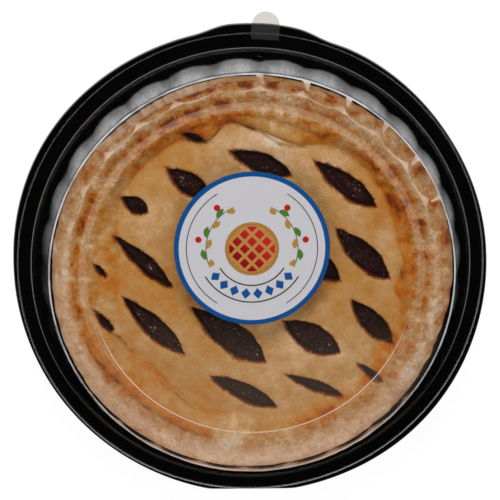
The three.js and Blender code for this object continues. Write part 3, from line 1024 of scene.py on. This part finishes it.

# %% [markdown]
# ## Browning
#
# An oven browns what stands proud and what lies near the wall: crimps, crumbs and the slope of the rim.
# Valleys and pressed dough stay pale, and juice stains the lower edge of a vent, while painted shade
# darkens the crease, the cracks, the shut slit and the feet of ledges. These follow the shape, so they
# are worked out once for every point and stored on the mesh as plain numbers.

# %% Browning of the slope inside the rim
# Broad patches of the top sheet that baked browner or stayed paler: place, reach and change.
PATCHES = [
    (-62, -6, 20, 0.12), (-38, -52, 18, 0.08), (8, -62, 14, 0.05), (66, 28, 14, 0.08), (40, -4, 16, 0.07),
    (0, 60, 17, -0.14), (-45, 20, 12, -0.06), (44, 62, 14, -0.08), (-10, -84, 9, -0.34),
    (15, 70, 11, -0.42), (20, -46, 18, -0.07), (-30, -12, 13, 0.06), (-22, 22, 20, 0.07),
    (-84, 6, 14, -0.2), (-38, 70, 10, 0.1), (60, -44, 14, -0.05), (-22, -58, 10, 0.06),
]
# Directions in which the slope baked unlike the rest, each with a reach in degrees and a strength.
RING_SPOTS = [(95, 25, 0.12), (140, 30, -0.08)]  # slope browner or paler
CALM_SPOTS = [(-88, 50, 1), (-138, 32, 0.9)]  # slope hardly browned


def slope_browning(outside, r, soft, fine, angles):
    """Browning of the slope inside the rim: the brownest ring, more on the +X side than on the other,
    and least where the ledges lie. The crease is darker still with painted shade."""
    ring = 0.2 + 0.08 * np.cos(np.radians(angles - 20)) + spots_at(RING_SPOTS, angles)
    calm = np.clip(spots_at(CALM_SPOTS, angles), 0, 1)
    slope = ramp(-1, 2.5, outside) * ramp(87, 80, r) * (1 - 0.85 * calm)
    patch = (0.16 + 0.16 * fine) * near(angles, -60, 25) * hill(r, 80, 3)
    # Painted shade along the crease.
    crease = 0.16 * np.exp(-np.abs(outside) / 1.2) * crease_at(angles)[1]
    return (ring + 0.09 * fine + 0.06 * soft) * slope + crease + patch


print("patches that baked unlike the rest:", len(PATCHES))

# %% Browning of the rim
# Directions on the rim, each with a reach in degrees, and some with a strength too.
PALE_SPOTS = [(-88, 55, 1), (185, 50, 0.5), (-25, 30, 0.5)]  # edge pale
FRONT, LEFT, BACK = (-88, 55), (178, 42), (85, 40)


def rim_browning(r, soft, fine, angles):
    """Browning of the rim: crimps toasted on top, a pale line outside them, a groove on the -X side,
    and a second row of patches on the outer edge, longer towards the back and missing at the front."""
    front, left, back = near(angles, *FRONT), near(angles, *LEFT), near(angles, *BACK)
    crimp = crimps_at(angles)
    pads = hill(r, CRIMP_LINE, 2.8) * ramp(-0.45, 0.45, crimp + 0.7 * fine) * crimp_strength(angles)
    brown = (0.42 + 0.2 * soft) * (1 - 0.6 * left) * pads - 0.16 * hill(r, 91.6, 2.2)
    brown += (0.23 + 0.14 * soft + 0.1 * fine) * left * hill(r, 88.8, 2.6)
    gaps = ramp(-0.3, 0.5, 0.8 * fine + 0.7 * soft - 0.5 * crimp)
    outer = (0.02 + 0.34 * gaps) * ramp(92.4, 95.5, r) * (1 - 0.45 * near(angles, 180, 50))
    arcs = ramp(94, 95.5, r) * ramp(-0.1, 0.3, 0.5 * fine - 0.7 * crimp) * back
    brown += outer * (1 - front) + 0.34 * arcs * back
    brown += (0.08 * back - 0.10 * front) * ramp(84, 88, r)
    return brown - 0.27 * ramp(90.5, 94, r) * np.clip(spots_at(PALE_SPOTS, angles), 0, 1)


crimp_tops = rim_browning(np.full(360, CRIMP_LINE), 0, 0, turns(360))
print("along the crimps, browning adds up to", crimp_tops.max().round(2))

# %% Values stored on the mesh
# Directions on the rim, each with a reach in degrees and a strength.
BLUSH_SPOTS = [(-88, 55, 1), (-150, 40, 1), (20, 70, 0.35)]  # edge rosy
EVEN_SPOTS = [(-88, 55, 1), (-160, 40, 1)]  # edge hardly mottled
STRIP_BROWN = 0.74  # of the orange strip along the front ledge


def bake_values(points, outside, open_by, side, painted_hollow_shade, raised, angles):
    """How brown (0 pale to 1 dark), how rosy, how stained with juice and how mottled each point is,
    and the painted shade of how deep it lies in a crack, the crease, the shut slit or a ledge's foot.
    Juice reaches further over the -X edge of a vent than over the other."""
    x, y = points[:, 0], points[:, 1]
    r = np.hypot(x, y)
    soft, fine = lumps(points, 17, 41, 3), lumps(points, 4.5, 51, 2)
    brown = 0.40 + 0.08 * soft + 0.05 * fine + 0.18 * raised
    for patch_x, patch_y, reach, change in PATCHES:
        brown += change * hill(np.hypot(x - patch_x, y - patch_y + PIE_SLIDE), 0, reach)
    brown += slope_browning(outside, r, soft, fine, angles) + rim_browning(r, soft, fine, angles)
    away, inner = line_distance(x, y, FRONT_LEDGE)
    strip = ramp(0.1, 0.45, inner) * ramp(-0.4, 0.4, away) * ramp(6.2, 4.4, away + 0.8 * fine)
    brown += (STRIP_BROWN + 0.08 * fine - brown) * 0.9 * strip
    blush = np.clip(spots_at(BLUSH_SPOTS, angles), 0, 1)
    rosy = ramp(84, 91, r - 3 * near(angles, *LEFT)) * (0.1 + 0.85 * blush + 0.2 * fine)
    rosy *= (1 - 0.85 * ramp(0.52, 0.75, brown)) * (1 - strip)
    reach = 0.5 + 1.5 * ramp(0.3, -0.4, side) + 1.3 * np.clip(lumps(points, 9, 61, 2), 0, 1)
    juice = 1 - ramp(-0.1, 1, open_by / reach)
    even = np.clip(spots_at(EVEN_SPOTS, angles), 0, 1)
    mottle = ramp(75, 84, r) * (1 - 0.8 * strip) * (1 - 0.4 * even)
    return {"brown": brown, "rosy": rosy, "juice": juice, "mottle": mottle, "crack": painted_hollow_shade}


baked = bake_values(surface, outside, open_by, vent_side, painted_hollow_shade, raised, angles)
print("browning from", baked["brown"].min().round(2), "to", baked["brown"].max().round(2))

# %% [markdown]
# ## Finish of the crust
#
# Browning is one number, and a ramp turns it into dough colour: cream, straw, tan, then nut brown. The
# mesh carries the broad pattern, which follows the crimps and creases, and noise in the finish adds
# what is too fine for the mesh: mottling, floury specks and the grain of the surface.

# %% Crust finish
BAKE_COLOURS = [
    (0.0, ink(254, 232, 200)), (0.2, ink(242, 196, 146)), (0.38, ink(219, 168, 106)),
    (0.52, ink(214, 152, 78)), (0.66, ink(215, 131, 42)), (0.82, ink(200, 102, 26)),
    (1.0, ink(136, 62, 16)),
]
crust_finish, board = new_board("baked_crust")
here = board.place()
mottle = board.attribute("mottle")
cloud = board.noise(here, 7, 5, 0.55) - 0.5
island = board.noise(here, 5.5, 4, 0.6).step(0.5, 0.6)
speck = board.noise(here, 1.5, 3, 0.6) - 0.5
brown = board.attribute("brown") + cloud * (0.4 + 0.3 * mottle) + speck * (0.25 + 0.4 * mottle)
brown = brown + (island * 0.24 - 0.09) * mottle
rosy = board.attribute("rosy") * board.noise(here, 4, 2).step(0.2, 0.6)
flour = board.noise(here, 2.4, 3, 0.7).step(0.64, 0.78)
vein = board.noise(here, 4.5, 4, 0.65).band(0.5, 0.004, 0.02) * mottle
stain = board.attribute("juice") + (speck + cloud) * 0.8
juice = stain.step(0.5, 0.95)
colour = board.layered(board.node("ShaderNodeValToRGB", {"stops": BAKE_COLOURS}, {0: brown}), [
    (rosy * 0.7, ink(246, 198, 164)),
    (flour * (0.15 + 0.15 * mottle), ink(244, 218, 180)),
    (vein * 0.45, ink(168, 88, 48)),
    (stain.step(0.12, 0.6) * 0.8, ink(158, 82, 36)),
    (juice, ink(88, 32, 20)),
    # Painted shade in cracks, the crease, the shut slit and at the feet of ledges.
    (board.attribute("crack").step(0.15, 0.9) * 0.85, ink(98, 52, 20)),
])
grain = board.noise(here, 0.9, 4, 0.65)
pits = board.noise(here, 3.2, 4, 0.65)
relief = (grain * 0.28 + pits) * (0.5 + 0.5 * mottle)
dough = {"Base Color": colour, "Roughness": 0.62 - 0.25 * juice, "Specular IOR Level": 0.3}
dough["Normal"] = board.bump(relief, 2.1, 1.0)
board.opaque(dough)
print("nodes in the crust's finish:", len(crust_finish.node_tree.nodes))

# %% A closed solid from two sheets


def slab(top, under, faces):
    """A closed solid from a top and an underside with the same faces. Every open edge of the top gets
    a wall down to the underside, with two rows in between. Also returns each point's number in the
    top, counting on by the number of points for every row below it."""
    count = len(top)
    edges = [f[:, [i, (i + 1) % f.shape[1]]] for f in faces for i in range(f.shape[1])]
    directed = np.concatenate(edges)
    rim = directed[~np.isin(directed @ [count, 1], directed @ [1, count])]
    rows = [top + (under - top) * share for share in (0, 1 / 3, 2 / 3, 1)]
    walls = [np.column_stack([rim[:, ::-1], rim + count]) + row * count for row in range(3)]
    faces = [*faces, *[f[:, ::-1] + 3 * count for f in faces], *walls]
    used = np.unique(np.concatenate([f.ravel() for f in faces]))
    number = np.zeros(4 * count, int)
    number[used] = np.arange(len(used))
    return np.concatenate(rows)[used], [number[f] for f in faces], used


square = np.array([(0, 0), (1, 0), (1, 1), (0, 1)])
_, trial, _ = slab(np.insert(square, 2, 1, 1), np.insert(square, 2, 0, 1), [np.array([[0, 1, 2, 3]])])
print("a slab of one face has", sum(len(faces) for faces in trial), "faces")

# %% Top crust as a piece
EDGE_FROM = 0.93  # share of the section from which the sheet is thinner and turns in
EDGE_THINNING, EDGE_TURN_IN = 0.65, 0.95  # as shares of its thickness
HIDDEN_TO = 0.9  # share of the section inside which the underside lies on the filling


def sheet_under(surface, share):
    """The underside: straight below the top by the dough's thickness. At the outer edge the sheet is
    thinner and turns in."""
    under = surface.copy()
    near_edge = ramp(EDGE_FROM, 1.0, share)
    under[:, 2] -= DOUGH * (1 - EDGE_THINNING * near_edge)
    r = np.maximum(np.hypot(surface[:, 0], surface[:, 1]), 1)
    under[:, :2] -= (EDGE_TURN_IN * DOUGH * near_edge / r)[:, None] * surface[:, :2]
    return under


solid, faces, used = slab(surface, sheet_under(surface, share), kept)
layers = {key: np.tile(value, 4)[used] for key, value in baked.items()}
hidden = (used >= len(surface)) & (np.tile(share, 4)[used] < HIDDEN_TO)
layers["juice"] = np.where(hidden, 1, layers["juice"])
new_piece("top_crust", slid(solid), faces, crust_finish, "crust", **layers)

# %% [markdown]
# The bottom crust lines the tray. Little of it shows: its top edge, pressed against the top sheet, can
# be seen through the side of the dome. It is a section turned about the axis, roughened with lumps. Its
# edge follows the same waves as the top sheet's, so that the two stay together.

# %% Bottom crust
BASE_COLUMNS = 480
# Radius, height and rounding: up the inside from the axis, over the edge and back underneath.
BASE_SECTION = [
    (0, 5.4, 0), (76, 5.4, 2), (86, 22, 4), (86.5, 31.5, 3), (90, 34.2, 2), (95.5, 33.4, 2),
    (98.6, 32, 1), (99.5, 29.8, 1.5), (96, 26.2, 2), (79.6, 2.3, 2), (0, 2.3, 0),
]
section = filled(rounded(BASE_SECTION), 3)
r, z = section.T[:, :, None]
angles = turns(BASE_COLUMNS)
push = waves_at(EDGE_WAVES, angles) + ramp(FLARE_FROM, EDGE_RADIUS, r) * flare_at(angles) - 0.4
wide = r + ramp(RIM_FROM, RIM_TO, r) * ramp(26, 30, z) * push
high = z + ramp(26, 31, z) * ramp(88, 94, r) * front_rise(angles)
points = around_axis(wide, high, angles)
points = pushed_out(points, 0.4 * lumps(points, 5, 81) * ramp(24, 28, z) * ramp(92, 95, r), angles)
brown = 0.5 + 0.16 * lumps(points, 7, 91)
plain = np.ones_like(brown)
layers = {"brown": brown, "rosy": 0.4 * plain, "juice": 0 * plain, "mottle": plain, "crack": 0 * plain}
faces = [grid_faces(len(section), BASE_COLUMNS, True)]
new_piece("bottom_crust", slid(points), faces, crust_finish, "crust", **layers)

# %% [markdown]
# ## Filling
#
# Cooked cherries in a dark, nearly black jelly swell up into the vents. It is one body, because the
# fruit has melted together: a lumpy top that follows the crust's underside and rises in each opening,
# over a flat base. A wet coat makes it gleam, and pale specks on it are painted highlights.

# %% Cherry jelly
filling_finish, board = new_board("cherry_filling")
here = board.place()
skin = board.noise(here, 5, 3, 0.6)
pulp = board.noise(here, 1.6, 3, 0.6)
# Pale specks: painted highlights on the wet jelly.
painted_glints = board.noise(here, 1.2, 2).step(0.63, 0.71) * board.noise(here, 8, 1).step(0.5, 0.62)
colour = board.layered(ink(20, 8, 10), [
    (skin.step(0.35, 0.7), ink(50, 24, 25)),
    (pulp.step(0.55, 0.75), ink(92, 54, 50)),
    (painted_glints, ink(196, 170, 150)),
])
jelly = {"Base Color": colour, "Roughness": 0.22 + 0.3 * pulp, "Coat Weight": 0.35}
jelly |= {"Coat Roughness": 0.12, "Normal": board.bump(pulp * 0.4 + skin, 1.0, 0.8)}
board.opaque(jelly)
print("nodes in the jelly:", len(filling_finish.node_tree.nodes))

# %% Filling
FILLING_CELLS = 150
FILLING_SHARE = 0.78  # how far out along the crust's section it reaches
FILLING_GAP = 0.4
FILLING_FLOOR, FLOOR_SHARE = 6, 0.93  # height of its base, and the base's width beside the top's

share, angles = disc_grid(FILLING_CELLS)
jam = sheet_surface(share * FILLING_SHARE, angles)[0]
inside = -vent_place(jam[:, 0], jam[:, 1])[0]
jam[:, 2] -= DOUGH + FILLING_GAP
jam[:, 2] += ramp(0.4, 2.6, inside) * (1.7 + 0.5 * lumps(jam, 6, 101, 2))
base = jam.copy()
base[:, :2] *= FLOOR_SHARE
base[:, 2] = FILLING_FLOOR
quads = grid_faces(FILLING_CELLS + 1, FILLING_CELLS + 1, False)
solid, faces, _ = slab(jam, base, [quads])
new_piece("cherry_filling", slid(solid), faces, filling_finish, "filling")

# %% [markdown]
# ## Lid
#
# The dome is drawn from clear sheet: a flat panel, a shallow step, a gutter with a scalloped edge, a
# high narrow ridge, then a fluted wall and a foot that copies the tray's flange. Its section carries a
# third value, how far each ring swells in the middle of a flute, so that one turn makes the whole
# sheet. Between two flutes the wall stays flat for a few millimetres.

# %% Lid section
LID_WALL = 0.5
LID_TOP = box_mm("lid")[1][2]
PANEL = LID_TOP - 2.4  # height of the flat panel
SEAT = LAND + 0.8  # the lid's land: its own thickness and a gap above the tray's
# Radius, height, swell in a flute, and rounding.
LID_SECTION = [
    (0, PANEL, 0, 0), (81.2, PANEL, 0, 1.2), (82.8, PANEL - 1.9, 0, 0.9), (85.6, PANEL - 2.3, 0, 1.2),
    (92.9, PANEL - 2.3, -2.5, 0.5), (98.4, LID_TOP + 0.1, 0, 0.8), (99.9, LID_TOP - 0.1, 0, 0.7),
    (101.6, 39, 1.35, 3), (103.7, SEAT + 0.4, 1.8, 0.9), (105.4, SEAT, 0.6, 0.6), (108.6, SEAT, 0, 0.8),
    (110.7, SEAT + 1, 0, 1.1), (112.5, SEAT + 0.15, 0, 0.7), (113.8, SEAT, 0, 0.5),
    (117.4, SEAT - 1.2, 0, 0),
]
section = both_faces(filled(rounded(LID_SECTION), 3.2), LID_WALL)
outside_rows = section[: len(section) // 2]
outside_rows[:, 1] = np.minimum(outside_rows[:, 1], LID_TOP - 0.05)
print("lid section:", len(section), "points, panel at", round(PANEL, 1), "mm")

# %% Flutes and nubs
FLUTES, FLUTE_COLUMNS = 28, 16  # how many, and columns of faces in each
FLUTE_SHARE = 0.95  # part of a flute that swells; the rest stays flat
NOTCH = 88.1  # direction in degrees of a web between two flutes
NUB_RADIUS, NUB_EVERY = 107, 4  # the nubs' radius, and the flutes between two of them
NUB_LONG, NUB_WIDE, NUB_HIGH = 2.4, 0.75, 0.7


def lid_points(section, angles):
    """Turns the section. A flute's swell is a parabola over its middle part and nothing beside it. Low
    lumps make the sheet a little uneven, and nubs rise on the land opposite every fourth notch."""
    r, z, swell = section.T[:, :, None]
    place = (angles - NOTCH) / (360 / FLUTES)
    across = 2 * (place - np.floor(place)) - 1
    wide = r + swell * np.clip(1 - (across / FLUTE_SHARE) ** 2, 0, None)
    points = around_axis(wide, z, angles)
    wall = ramp(93, 97, r) * ramp(106, 103, r)
    points = pushed_out(points, 0.16 * wall * lattice_noise(points * [1, 1, 0.15], 2.6, 7), angles)
    points[..., 2] += 0.12 * ramp(80, 60, r) * lattice_noise(points, 26, 8)
    step = 360 / FLUTES * NUB_EVERY
    beside = np.radians((angles - NOTCH + step / 2) % step - step / 2) * NUB_RADIUS
    points[..., 2] += NUB_HIGH * np.exp(-((beside / NUB_LONG) ** 4) - ((r - NUB_RADIUS) / NUB_WIDE) ** 2)
    return points


angles = turns(FLUTES * FLUTE_COLUMNS, NOTCH)
lid_shape = lid_points(section, angles)
lid_faces = [grid_faces(len(section), len(angles), True)]
print("lid rows:", len(section), "columns:", len(angles))

# %% [markdown]
# Clear sheet is seen by what it mirrors. A glass shader would bend light and need many bounces, but a
# sheet this thin hardly bends it, so a mirror is mixed over a see-through surface, by how edge-on the
# sheet is seen. Where it was stretched, in the wall and the step, it is a little milky, in streaks
# that run up the wall. Painted highlights, painted glints, painted reflections and painted light are laid
# on as more milk, mostly towards the back.

# %% Clear plastic finish
# The warm tone is a painted reflection of the crust, laid on as milk.
MILK, CRUST_LIGHT_TONE = (0.9, 0.9, 0.92), (0.95, 0.7, 0.52)
FACE_ON_MIRROR = 0.04  # part of the light that clear plastic mirrors where it is seen face on


def clear_plastic(name, tint, milk_and_light_at):
    """A see-through finish: its mirror share is 4% face on and grows with the fifth power of the
    facing value. The function passed in gives, for a board and a place, the milky share, which for the
    lid also carries painted highlights and painted reflections, and the share of it that takes a warm
    tone, which is a painted reflection of the crust below."""
    material, board = new_board(name)
    here = board.place()
    facing = board.node("ShaderNodeLayerWeight", None, {"Blend": 0.5}, "Facing")
    mirror = FACE_ON_MIRROR + (1 - FACE_ON_MIRROR) * facing**5
    ripple = board.bump(board.noise(here, 7, 2), 0.5, 0.35)
    clear = board.node("ShaderNodeBsdfTransparent", None, {"Color": tint})
    gloss = board.node("ShaderNodeBsdfGlossy", None, {"Roughness": 0.06, "Normal": ripple})
    tones = [board.node("ShaderNodeBsdfDiffuse", None, {"Color": tone}) for tone in (MILK, CRUST_LIGHT_TONE)]
    milk_and_light_share, warm_light_share = milk_and_light_at(board, here)
    milk = board.blend(warm_light_share, *tones)
    board.finish(board.blend(milk_and_light_share, board.blend(mirror, clear, gloss), milk))
    return material


tab_finish = clear_plastic("clear_tab", (0.85, 0.835, 0.80), lambda board, here: (0.02, 0))
print("nodes in the tab's plastic:", len(tab_finish.node_tree.nodes))

# %% Where the lid is milky, and its painted highlights and reflections
# Radii of the lines along which the sheet was bent, from the panel's edge out to the foot.
PANEL_LINE, STEP_LINE, SCALLOP_LINE = 80.2, 83.7, 92.7
TOOTH_FOOT, RIDGE_LINE, BEAD_LINE = 93.6, 99.4, 110.2
WEB_RADIUS = 96  # where the distance from a web is measured


def lid_milk_and_painted_light(board, here):
    """Milky share of the lid, and the share of it in a warm tone, which is a painted reflection of the
    crust below. The wall's milk is streaked and whitest in the middle of a flute, and painted light makes
    it brighter at the back and its two sides. Painted highlights run along the ridge, the gutter's cusped
    edge, the panel's edge and the bead, with painted glints in a slanted tooth at the head of each
    crease. Painted reflections lie on the step, between the gutter and the ridge, on the panel and on
    the wall towards -Y. Most of it fades towards -Y."""
    x, y, z = board.parts(here)
    r, angle = from_middle(x, y), board.math("ARCTAN2", y, x)
    around = board.node("ShaderNodeCombineXYZ", None, {0: angle * 60, 1: z * 0.12, 2: 0})
    streak = board.noise(around, 3.2, 2, 0.5).step(0.3, 0.7)
    patchy = board.noise(here, 14, 2).step(0.35, 0.6)
    # Weights for the painted light: from the back, from the front, and from the back's -X and +X sides.
    back, front = y.step(-80, 0), y.step(-15, -50)
    left, right = (y * 0.8 - x * 0.6).step(60, 98), (y * 0.7 + x * 0.7).step(40, 95)
    # Place across a flute, from -1 at one web to 1 at the next, and the distance from a web in mm.
    place = (angle - NOTCH * np.pi / 180) * (FLUTES / (2 * np.pi))
    across = place.fraction() * 2 - 1
    beside = ((place + 0.5).fraction() * 2 - 1) * (np.pi * WEB_RADIUS / FLUTES)
    # The wall's milk is streaked and brighter towards the top. Painted light makes it brighter still at
    # the back and its two sides, and removes it at the front.
    wall = r.step(99.9, 100.6) * r.step(106.2, 105.2) * z.step(28.5, 30)
    middle = across.size().step(1, 0.15)
    wall = wall * (0.045 + 0.04 * streak + 0.03 * middle) * (0.6 + 0.6 * z.step(30, 47))
    wall = wall * y.step(-45, 60) * (0.7 + 1.6 * left + 1.5 * right)
    # Towards -Y, a painted reflection of the crust that leans against the wall, laid on as warm milk.
    painted_crust_reflection = r.step(98.9, 99.5) * z.step(31, 35) * y.step(-55, -80) * (0.6 + 0.4 * patchy)
    # Painted highlight along the ridge, strongest at the back.
    ridge_highlight = r.band(RIDGE_LINE, 0.1, 0.5) * (0.03 + (0.62 * back + 0.3 * front) * (0.4 + 0.6 * patchy))
    # Painted highlight along the gutter's cusped line, towards the back, thickest at its cusps.
    cusp = beside.size().step(6.5, 0)
    cusped_line_highlight = (r - SCALLOP_LINE + 2.3 * (1 - across * across)).size() - 0.12 - 1.2 * cusp * cusp
    cusped_line_highlight = cusped_line_highlight.step(0.5, -0.25) * y.step(5, 55) * (0.15 + 0.55 * patchy) * (0.6 + 0.4 * streak)
    # Painted reflection in streaks between the gutter and the ridge, on the back's -X side.
    crinkle_reflection = r.step(93.5, 95) * r.step(98.8, 97.8) * (streak * 0.4 + 0.02)
    crinkle_reflection = crinkle_reflection * (y * 0.87 - x * 0.5).step(88, 95)
    # Painted glints at the head of each crease, on the back's +X side: each is a tooth that widens
    # outwards from its foot and leans to one side.
    tooth_glint = (beside + (98.6 - r) * 0.4 + (streak - 0.5)).size() - (r - TOOTH_FOOT) * 0.3
    tooth_glint = tooth_glint.step(0.4, -0.4) * r.step(94, 95) * r.step(99.2, 98.8)
    tooth_glint = tooth_glint * x.step(-22, 0) * y.step(20, 45) * (0.3 + 0.55 * patchy)
    # Milk in the step, and a painted reflection on it that fades towards -Y.
    step = r.band(STEP_LINE, 1.5, 0.5) * (0.012 + 0.075 * y.step(-65, 5))
    # Painted highlight along the panel's edge, towards -Y.
    panel_edge_highlight = r.band(PANEL_LINE, 0.15, 0.35) * front * 0.5
    # Painted highlight along the bead of the foot, strongest at the back.
    bead_highlight = r.band(BEAD_LINE, 0.03, 0.25) * (0.02 + 0.12 * back)
    # A little milk inside the ridge, and a painted reflection that greys it towards -Y.
    panel_milk_and_reflection = r.step(99, 97) * (0.003 + 0.02 * front)
    milk_and_painted_light = wall + painted_crust_reflection * 0.34 + ridge_highlight + cusped_line_highlight + crinkle_reflection + tooth_glint + step + panel_edge_highlight + bead_highlight + panel_milk_and_reflection
    return milk_and_painted_light, r.step(98.9, 98.2) + painted_crust_reflection


lid_finish = clear_plastic("clear_lid", (0.985, 0.985, 0.985), lid_milk_and_painted_light)
print("nodes in the lid's plastic:", len(lid_finish.node_tree.nodes))
new_piece("lid_shell", lid_shape, lid_faces, lid_finish, "lid")

# %% [markdown]
# The lift tab is a flat tongue of the same sheet with a round end, a shade yellower because the light
# crosses it near the floor. Its outline is two straight sides and a half circle, lofted to its middle
# line, so it needs no Boolean.

# %% Lift tab
TAB_HALF, TAB_TURN = 6.8, 86.9  # half its width, and its direction in degrees
TAB_FROM, TAB_REACH = 114.2, 127.9
TAB_UNDER = SEAT - 1.1
TAB_ROWS, TAB_COLUMNS = 40, 17
TAB_RISE, RISE_FROM = 0.2, 121  # how far the end bends up, and from which radius
RIB_HIGH, RIB_PLACE = 0.18, 5.4  # the ribs along its two sides


def tab_face(height):
    """The tongue at a height: along it the half width is even, then falls as a quarter circle."""
    round_from = TAB_REACH - TAB_HALF
    straight = np.linspace(TAB_FROM, round_from, TAB_ROWS // 2, endpoint=False)
    bend = np.linspace(0, np.pi / 2, TAB_ROWS // 2)
    along = np.concatenate([straight, round_from + TAB_HALF * np.sin(bend)])
    past = np.clip(along - round_from, 0, None) / TAB_HALF
    half = TAB_HALF * np.sqrt(np.clip(1 - past**2, 0, 1))
    across = np.linspace(-1, 1, TAB_COLUMNS)[None, :] * half[:, None]
    r = np.repeat(along[:, None], TAB_COLUMNS, 1)
    c, s = np.cos(np.radians(TAB_TURN)), np.sin(np.radians(TAB_TURN))
    rib = RIB_HIGH * hill(np.abs(across), RIB_PLACE, 0.5)
    z = height + TAB_RISE * ramp(RISE_FROM, TAB_REACH, r) + rib
    return np.stack([r * c - across * s, r * s + across * c, z], -1).reshape(-1, 3)


quads = grid_faces(TAB_ROWS, TAB_COLUMNS, False)
top, under = tab_face(TAB_UNDER + LID_WALL), tab_face(TAB_UNDER)
solid, faces, _ = slab(top, under, [quads])
new_piece("lift_tab", solid, faces, tab_finish, "lid")

# %% [markdown]
# ## Label
#
# A round paper label is stuck on the dome. Its print is drawn by the finish, from distances and
# directions measured from the label's middle, so that no picture is needed: a blue edge, two thin
# arcs, a garland of leaves with berries, a row of diamonds and a small lattice pie.

# %% Label sizes and paper
LABEL_LOW, LABEL_HIGH = box_mm("label")
LABEL_CENTRE = (LABEL_LOW + LABEL_HIGH) / 2
LABEL_RADIUS, LABEL_THICK = (LABEL_HIGH - LABEL_LOW)[0] / 2, (LABEL_HIGH - LABEL_LOW)[2]
BLUE_FROM = LABEL_RADIUS - 2.4  # inner radius of the blue edge
ARC_RADIUS = 32.1
PRINT_SOFT = 0.12  # blur of a printed edge

label_finish, board = new_board("printed_paper")
here = board.place(LABEL_CENTRE)
x, y, _ = board.parts(here)
r, angle = from_middle(x, y), board.math("ARCTAN2", y, x)
fibre = board.noise(here, 0.8, 4, 0.6)
edge = r.step(BLUE_FROM - PRINT_SOFT, BLUE_FROM + PRINT_SOFT)
arcs = r.band(ARC_RADIUS, 0.18, PRINT_SOFT) * (x.size() / r).step(0.52, 0.54)
colour = board.layered(ink(212, 210, 214), [
    (fibre, ink(219, 217, 221)),
    (edge, ink(16, 82, 150)),
    (arcs, ink(60, 58, 62)),
])
print("label across, mm:", round(2 * LABEL_RADIUS, 1))

# %% Garland of leaves and berries
# Leaves lie in turn outside and inside the garland's ring; each is as wide as a sine over its length.
WREATH_RADIUS, LEAVES = 22.5, 26  # the ring, and how many leaves would fill it
BERRY_RING, BERRIES, BERRY_RADIUS = 26.6, 9, 1.5

turn = angle * (LEAVES / (2 * np.pi))
along = turn.fraction()
flip = (turn * 0.5).fraction().step(0.49, 0.51) * 2 - 1
width = board.math("SINE", along * np.pi)
aside = r - WREATH_RADIUS - (flip * 1.7) * (1 - along * 0.5)
open_top = (y / r).step(0.93, 0.9) * (y / r).step(-0.42, -0.38)
stalk = r.band(WREATH_RADIUS, 0.2, PRINT_SOFT)
leaf = (aside.size() - width * 1.5).step(PRINT_SOFT, -PRINT_SOFT)
berry_turn = angle * (BERRIES / (2 * np.pi)) + 0.25
berry_along = (berry_turn.fraction() - 0.5) * (2 * np.pi * BERRY_RING / BERRIES)
berry = from_middle(berry_along, r - BERRY_RING).step(BERRY_RADIUS + PRINT_SOFT, BERRY_RADIUS)
colour = board.layered(colour, [
    (stalk * open_top, ink(96, 110, 60)),
    (leaf * open_top, board.mix(flip * 0.5 + 0.5, ink(186, 142, 62), ink(84, 126, 52))),
    (berry * open_top, ink(196, 30, 34)),
])
print("garland radius, mm:", WREATH_RADIUS)

# %% Row of diamonds
# The diamonds curve under the small pie, with a thin line on each side of them.
GEMS = 24  # how many would fill the ring
RAIL_AWAY = 4.2

gem_turn = angle * (GEMS / (2 * np.pi))
gem_along = (gem_turn.fraction() - 0.5).size() * (2 * np.pi * WREATH_RADIUS / GEMS)
gem = (gem_along * 0.42 + (r - WREATH_RADIUS).size() * 0.36).step(1.06, 0.94)
rails = (r - WREATH_RADIUS).size().band(RAIL_AWAY, 0.28, PRINT_SOFT)
bottom = (y / r).step(-0.5, -0.53)
colour = board.layered(colour, [(gem * bottom, ink(24, 84, 152)), (rails * bottom, ink(46, 44, 48))])
print("diamonds, mm apart:", round(2 * np.pi * WREATH_RADIUS / GEMS, 1))

# %% Small lattice pie
# A tan disc, a red middle, and strips of lattice over it.
ICON_RADIUS, ICON_RIM = 13.2, 2
LATTICE_STEP = 7.2  # between two strips, along X


def lattice_strips(slant):
    """1 on strips that repeat along a slanted value, and 0 between them."""
    return ((slant * (1 / LATTICE_STEP) + 0.5).fraction() - 0.5).size().step(0.16, 0.13)


disc = r.step(ICON_RADIUS + PRINT_SOFT, ICON_RADIUS)
fruit = r.step(ICON_RADIUS - ICON_RIM + PRINT_SOFT, ICON_RADIUS - ICON_RIM)
lattice = board.math("MAXIMUM", lattice_strips(x + y), lattice_strips(x - y))
shade = (x * 0.04 + y * 0.04 + 0.5).step(0, 1)
rim = r.band(ICON_RADIUS - 1, 0.12, 0.2) + r.band(ICON_RADIUS, 0.1, 0.15)
colour = board.layered(colour, [
    (disc, ink(196, 142, 72)),
    (fruit * (1 - lattice), board.mix(shade, ink(150, 14, 26), ink(206, 40, 44))),
    (rim * disc * 0.6, ink(120, 74, 34)),
])
board.opaque({"Base Color": colour, "Roughness": 0.42, "Normal": board.bump(fibre, 0.05, 0.4)})
print("nodes in the label's print:", len(label_finish.node_tree.nodes))

# %% Label
LABEL_COLUMNS = 160
line = rounded([(0, LABEL_THICK, 0), (LABEL_RADIUS - 0.2, LABEL_THICK, 0.15), (LABEL_RADIUS, 0, 0)])
line = np.concatenate([filled(line, 3), [[0, 0]]])
r, z = line.T[:, :, None]
points = around_axis(r, z, turns(LABEL_COLUMNS)) + [*LABEL_CENTRE[:2], LABEL_LOW[2]]
new_piece("label_disc", points, [grid_faces(len(line), LABEL_COLUMNS, True)], label_finish, "label")

# %% [markdown]
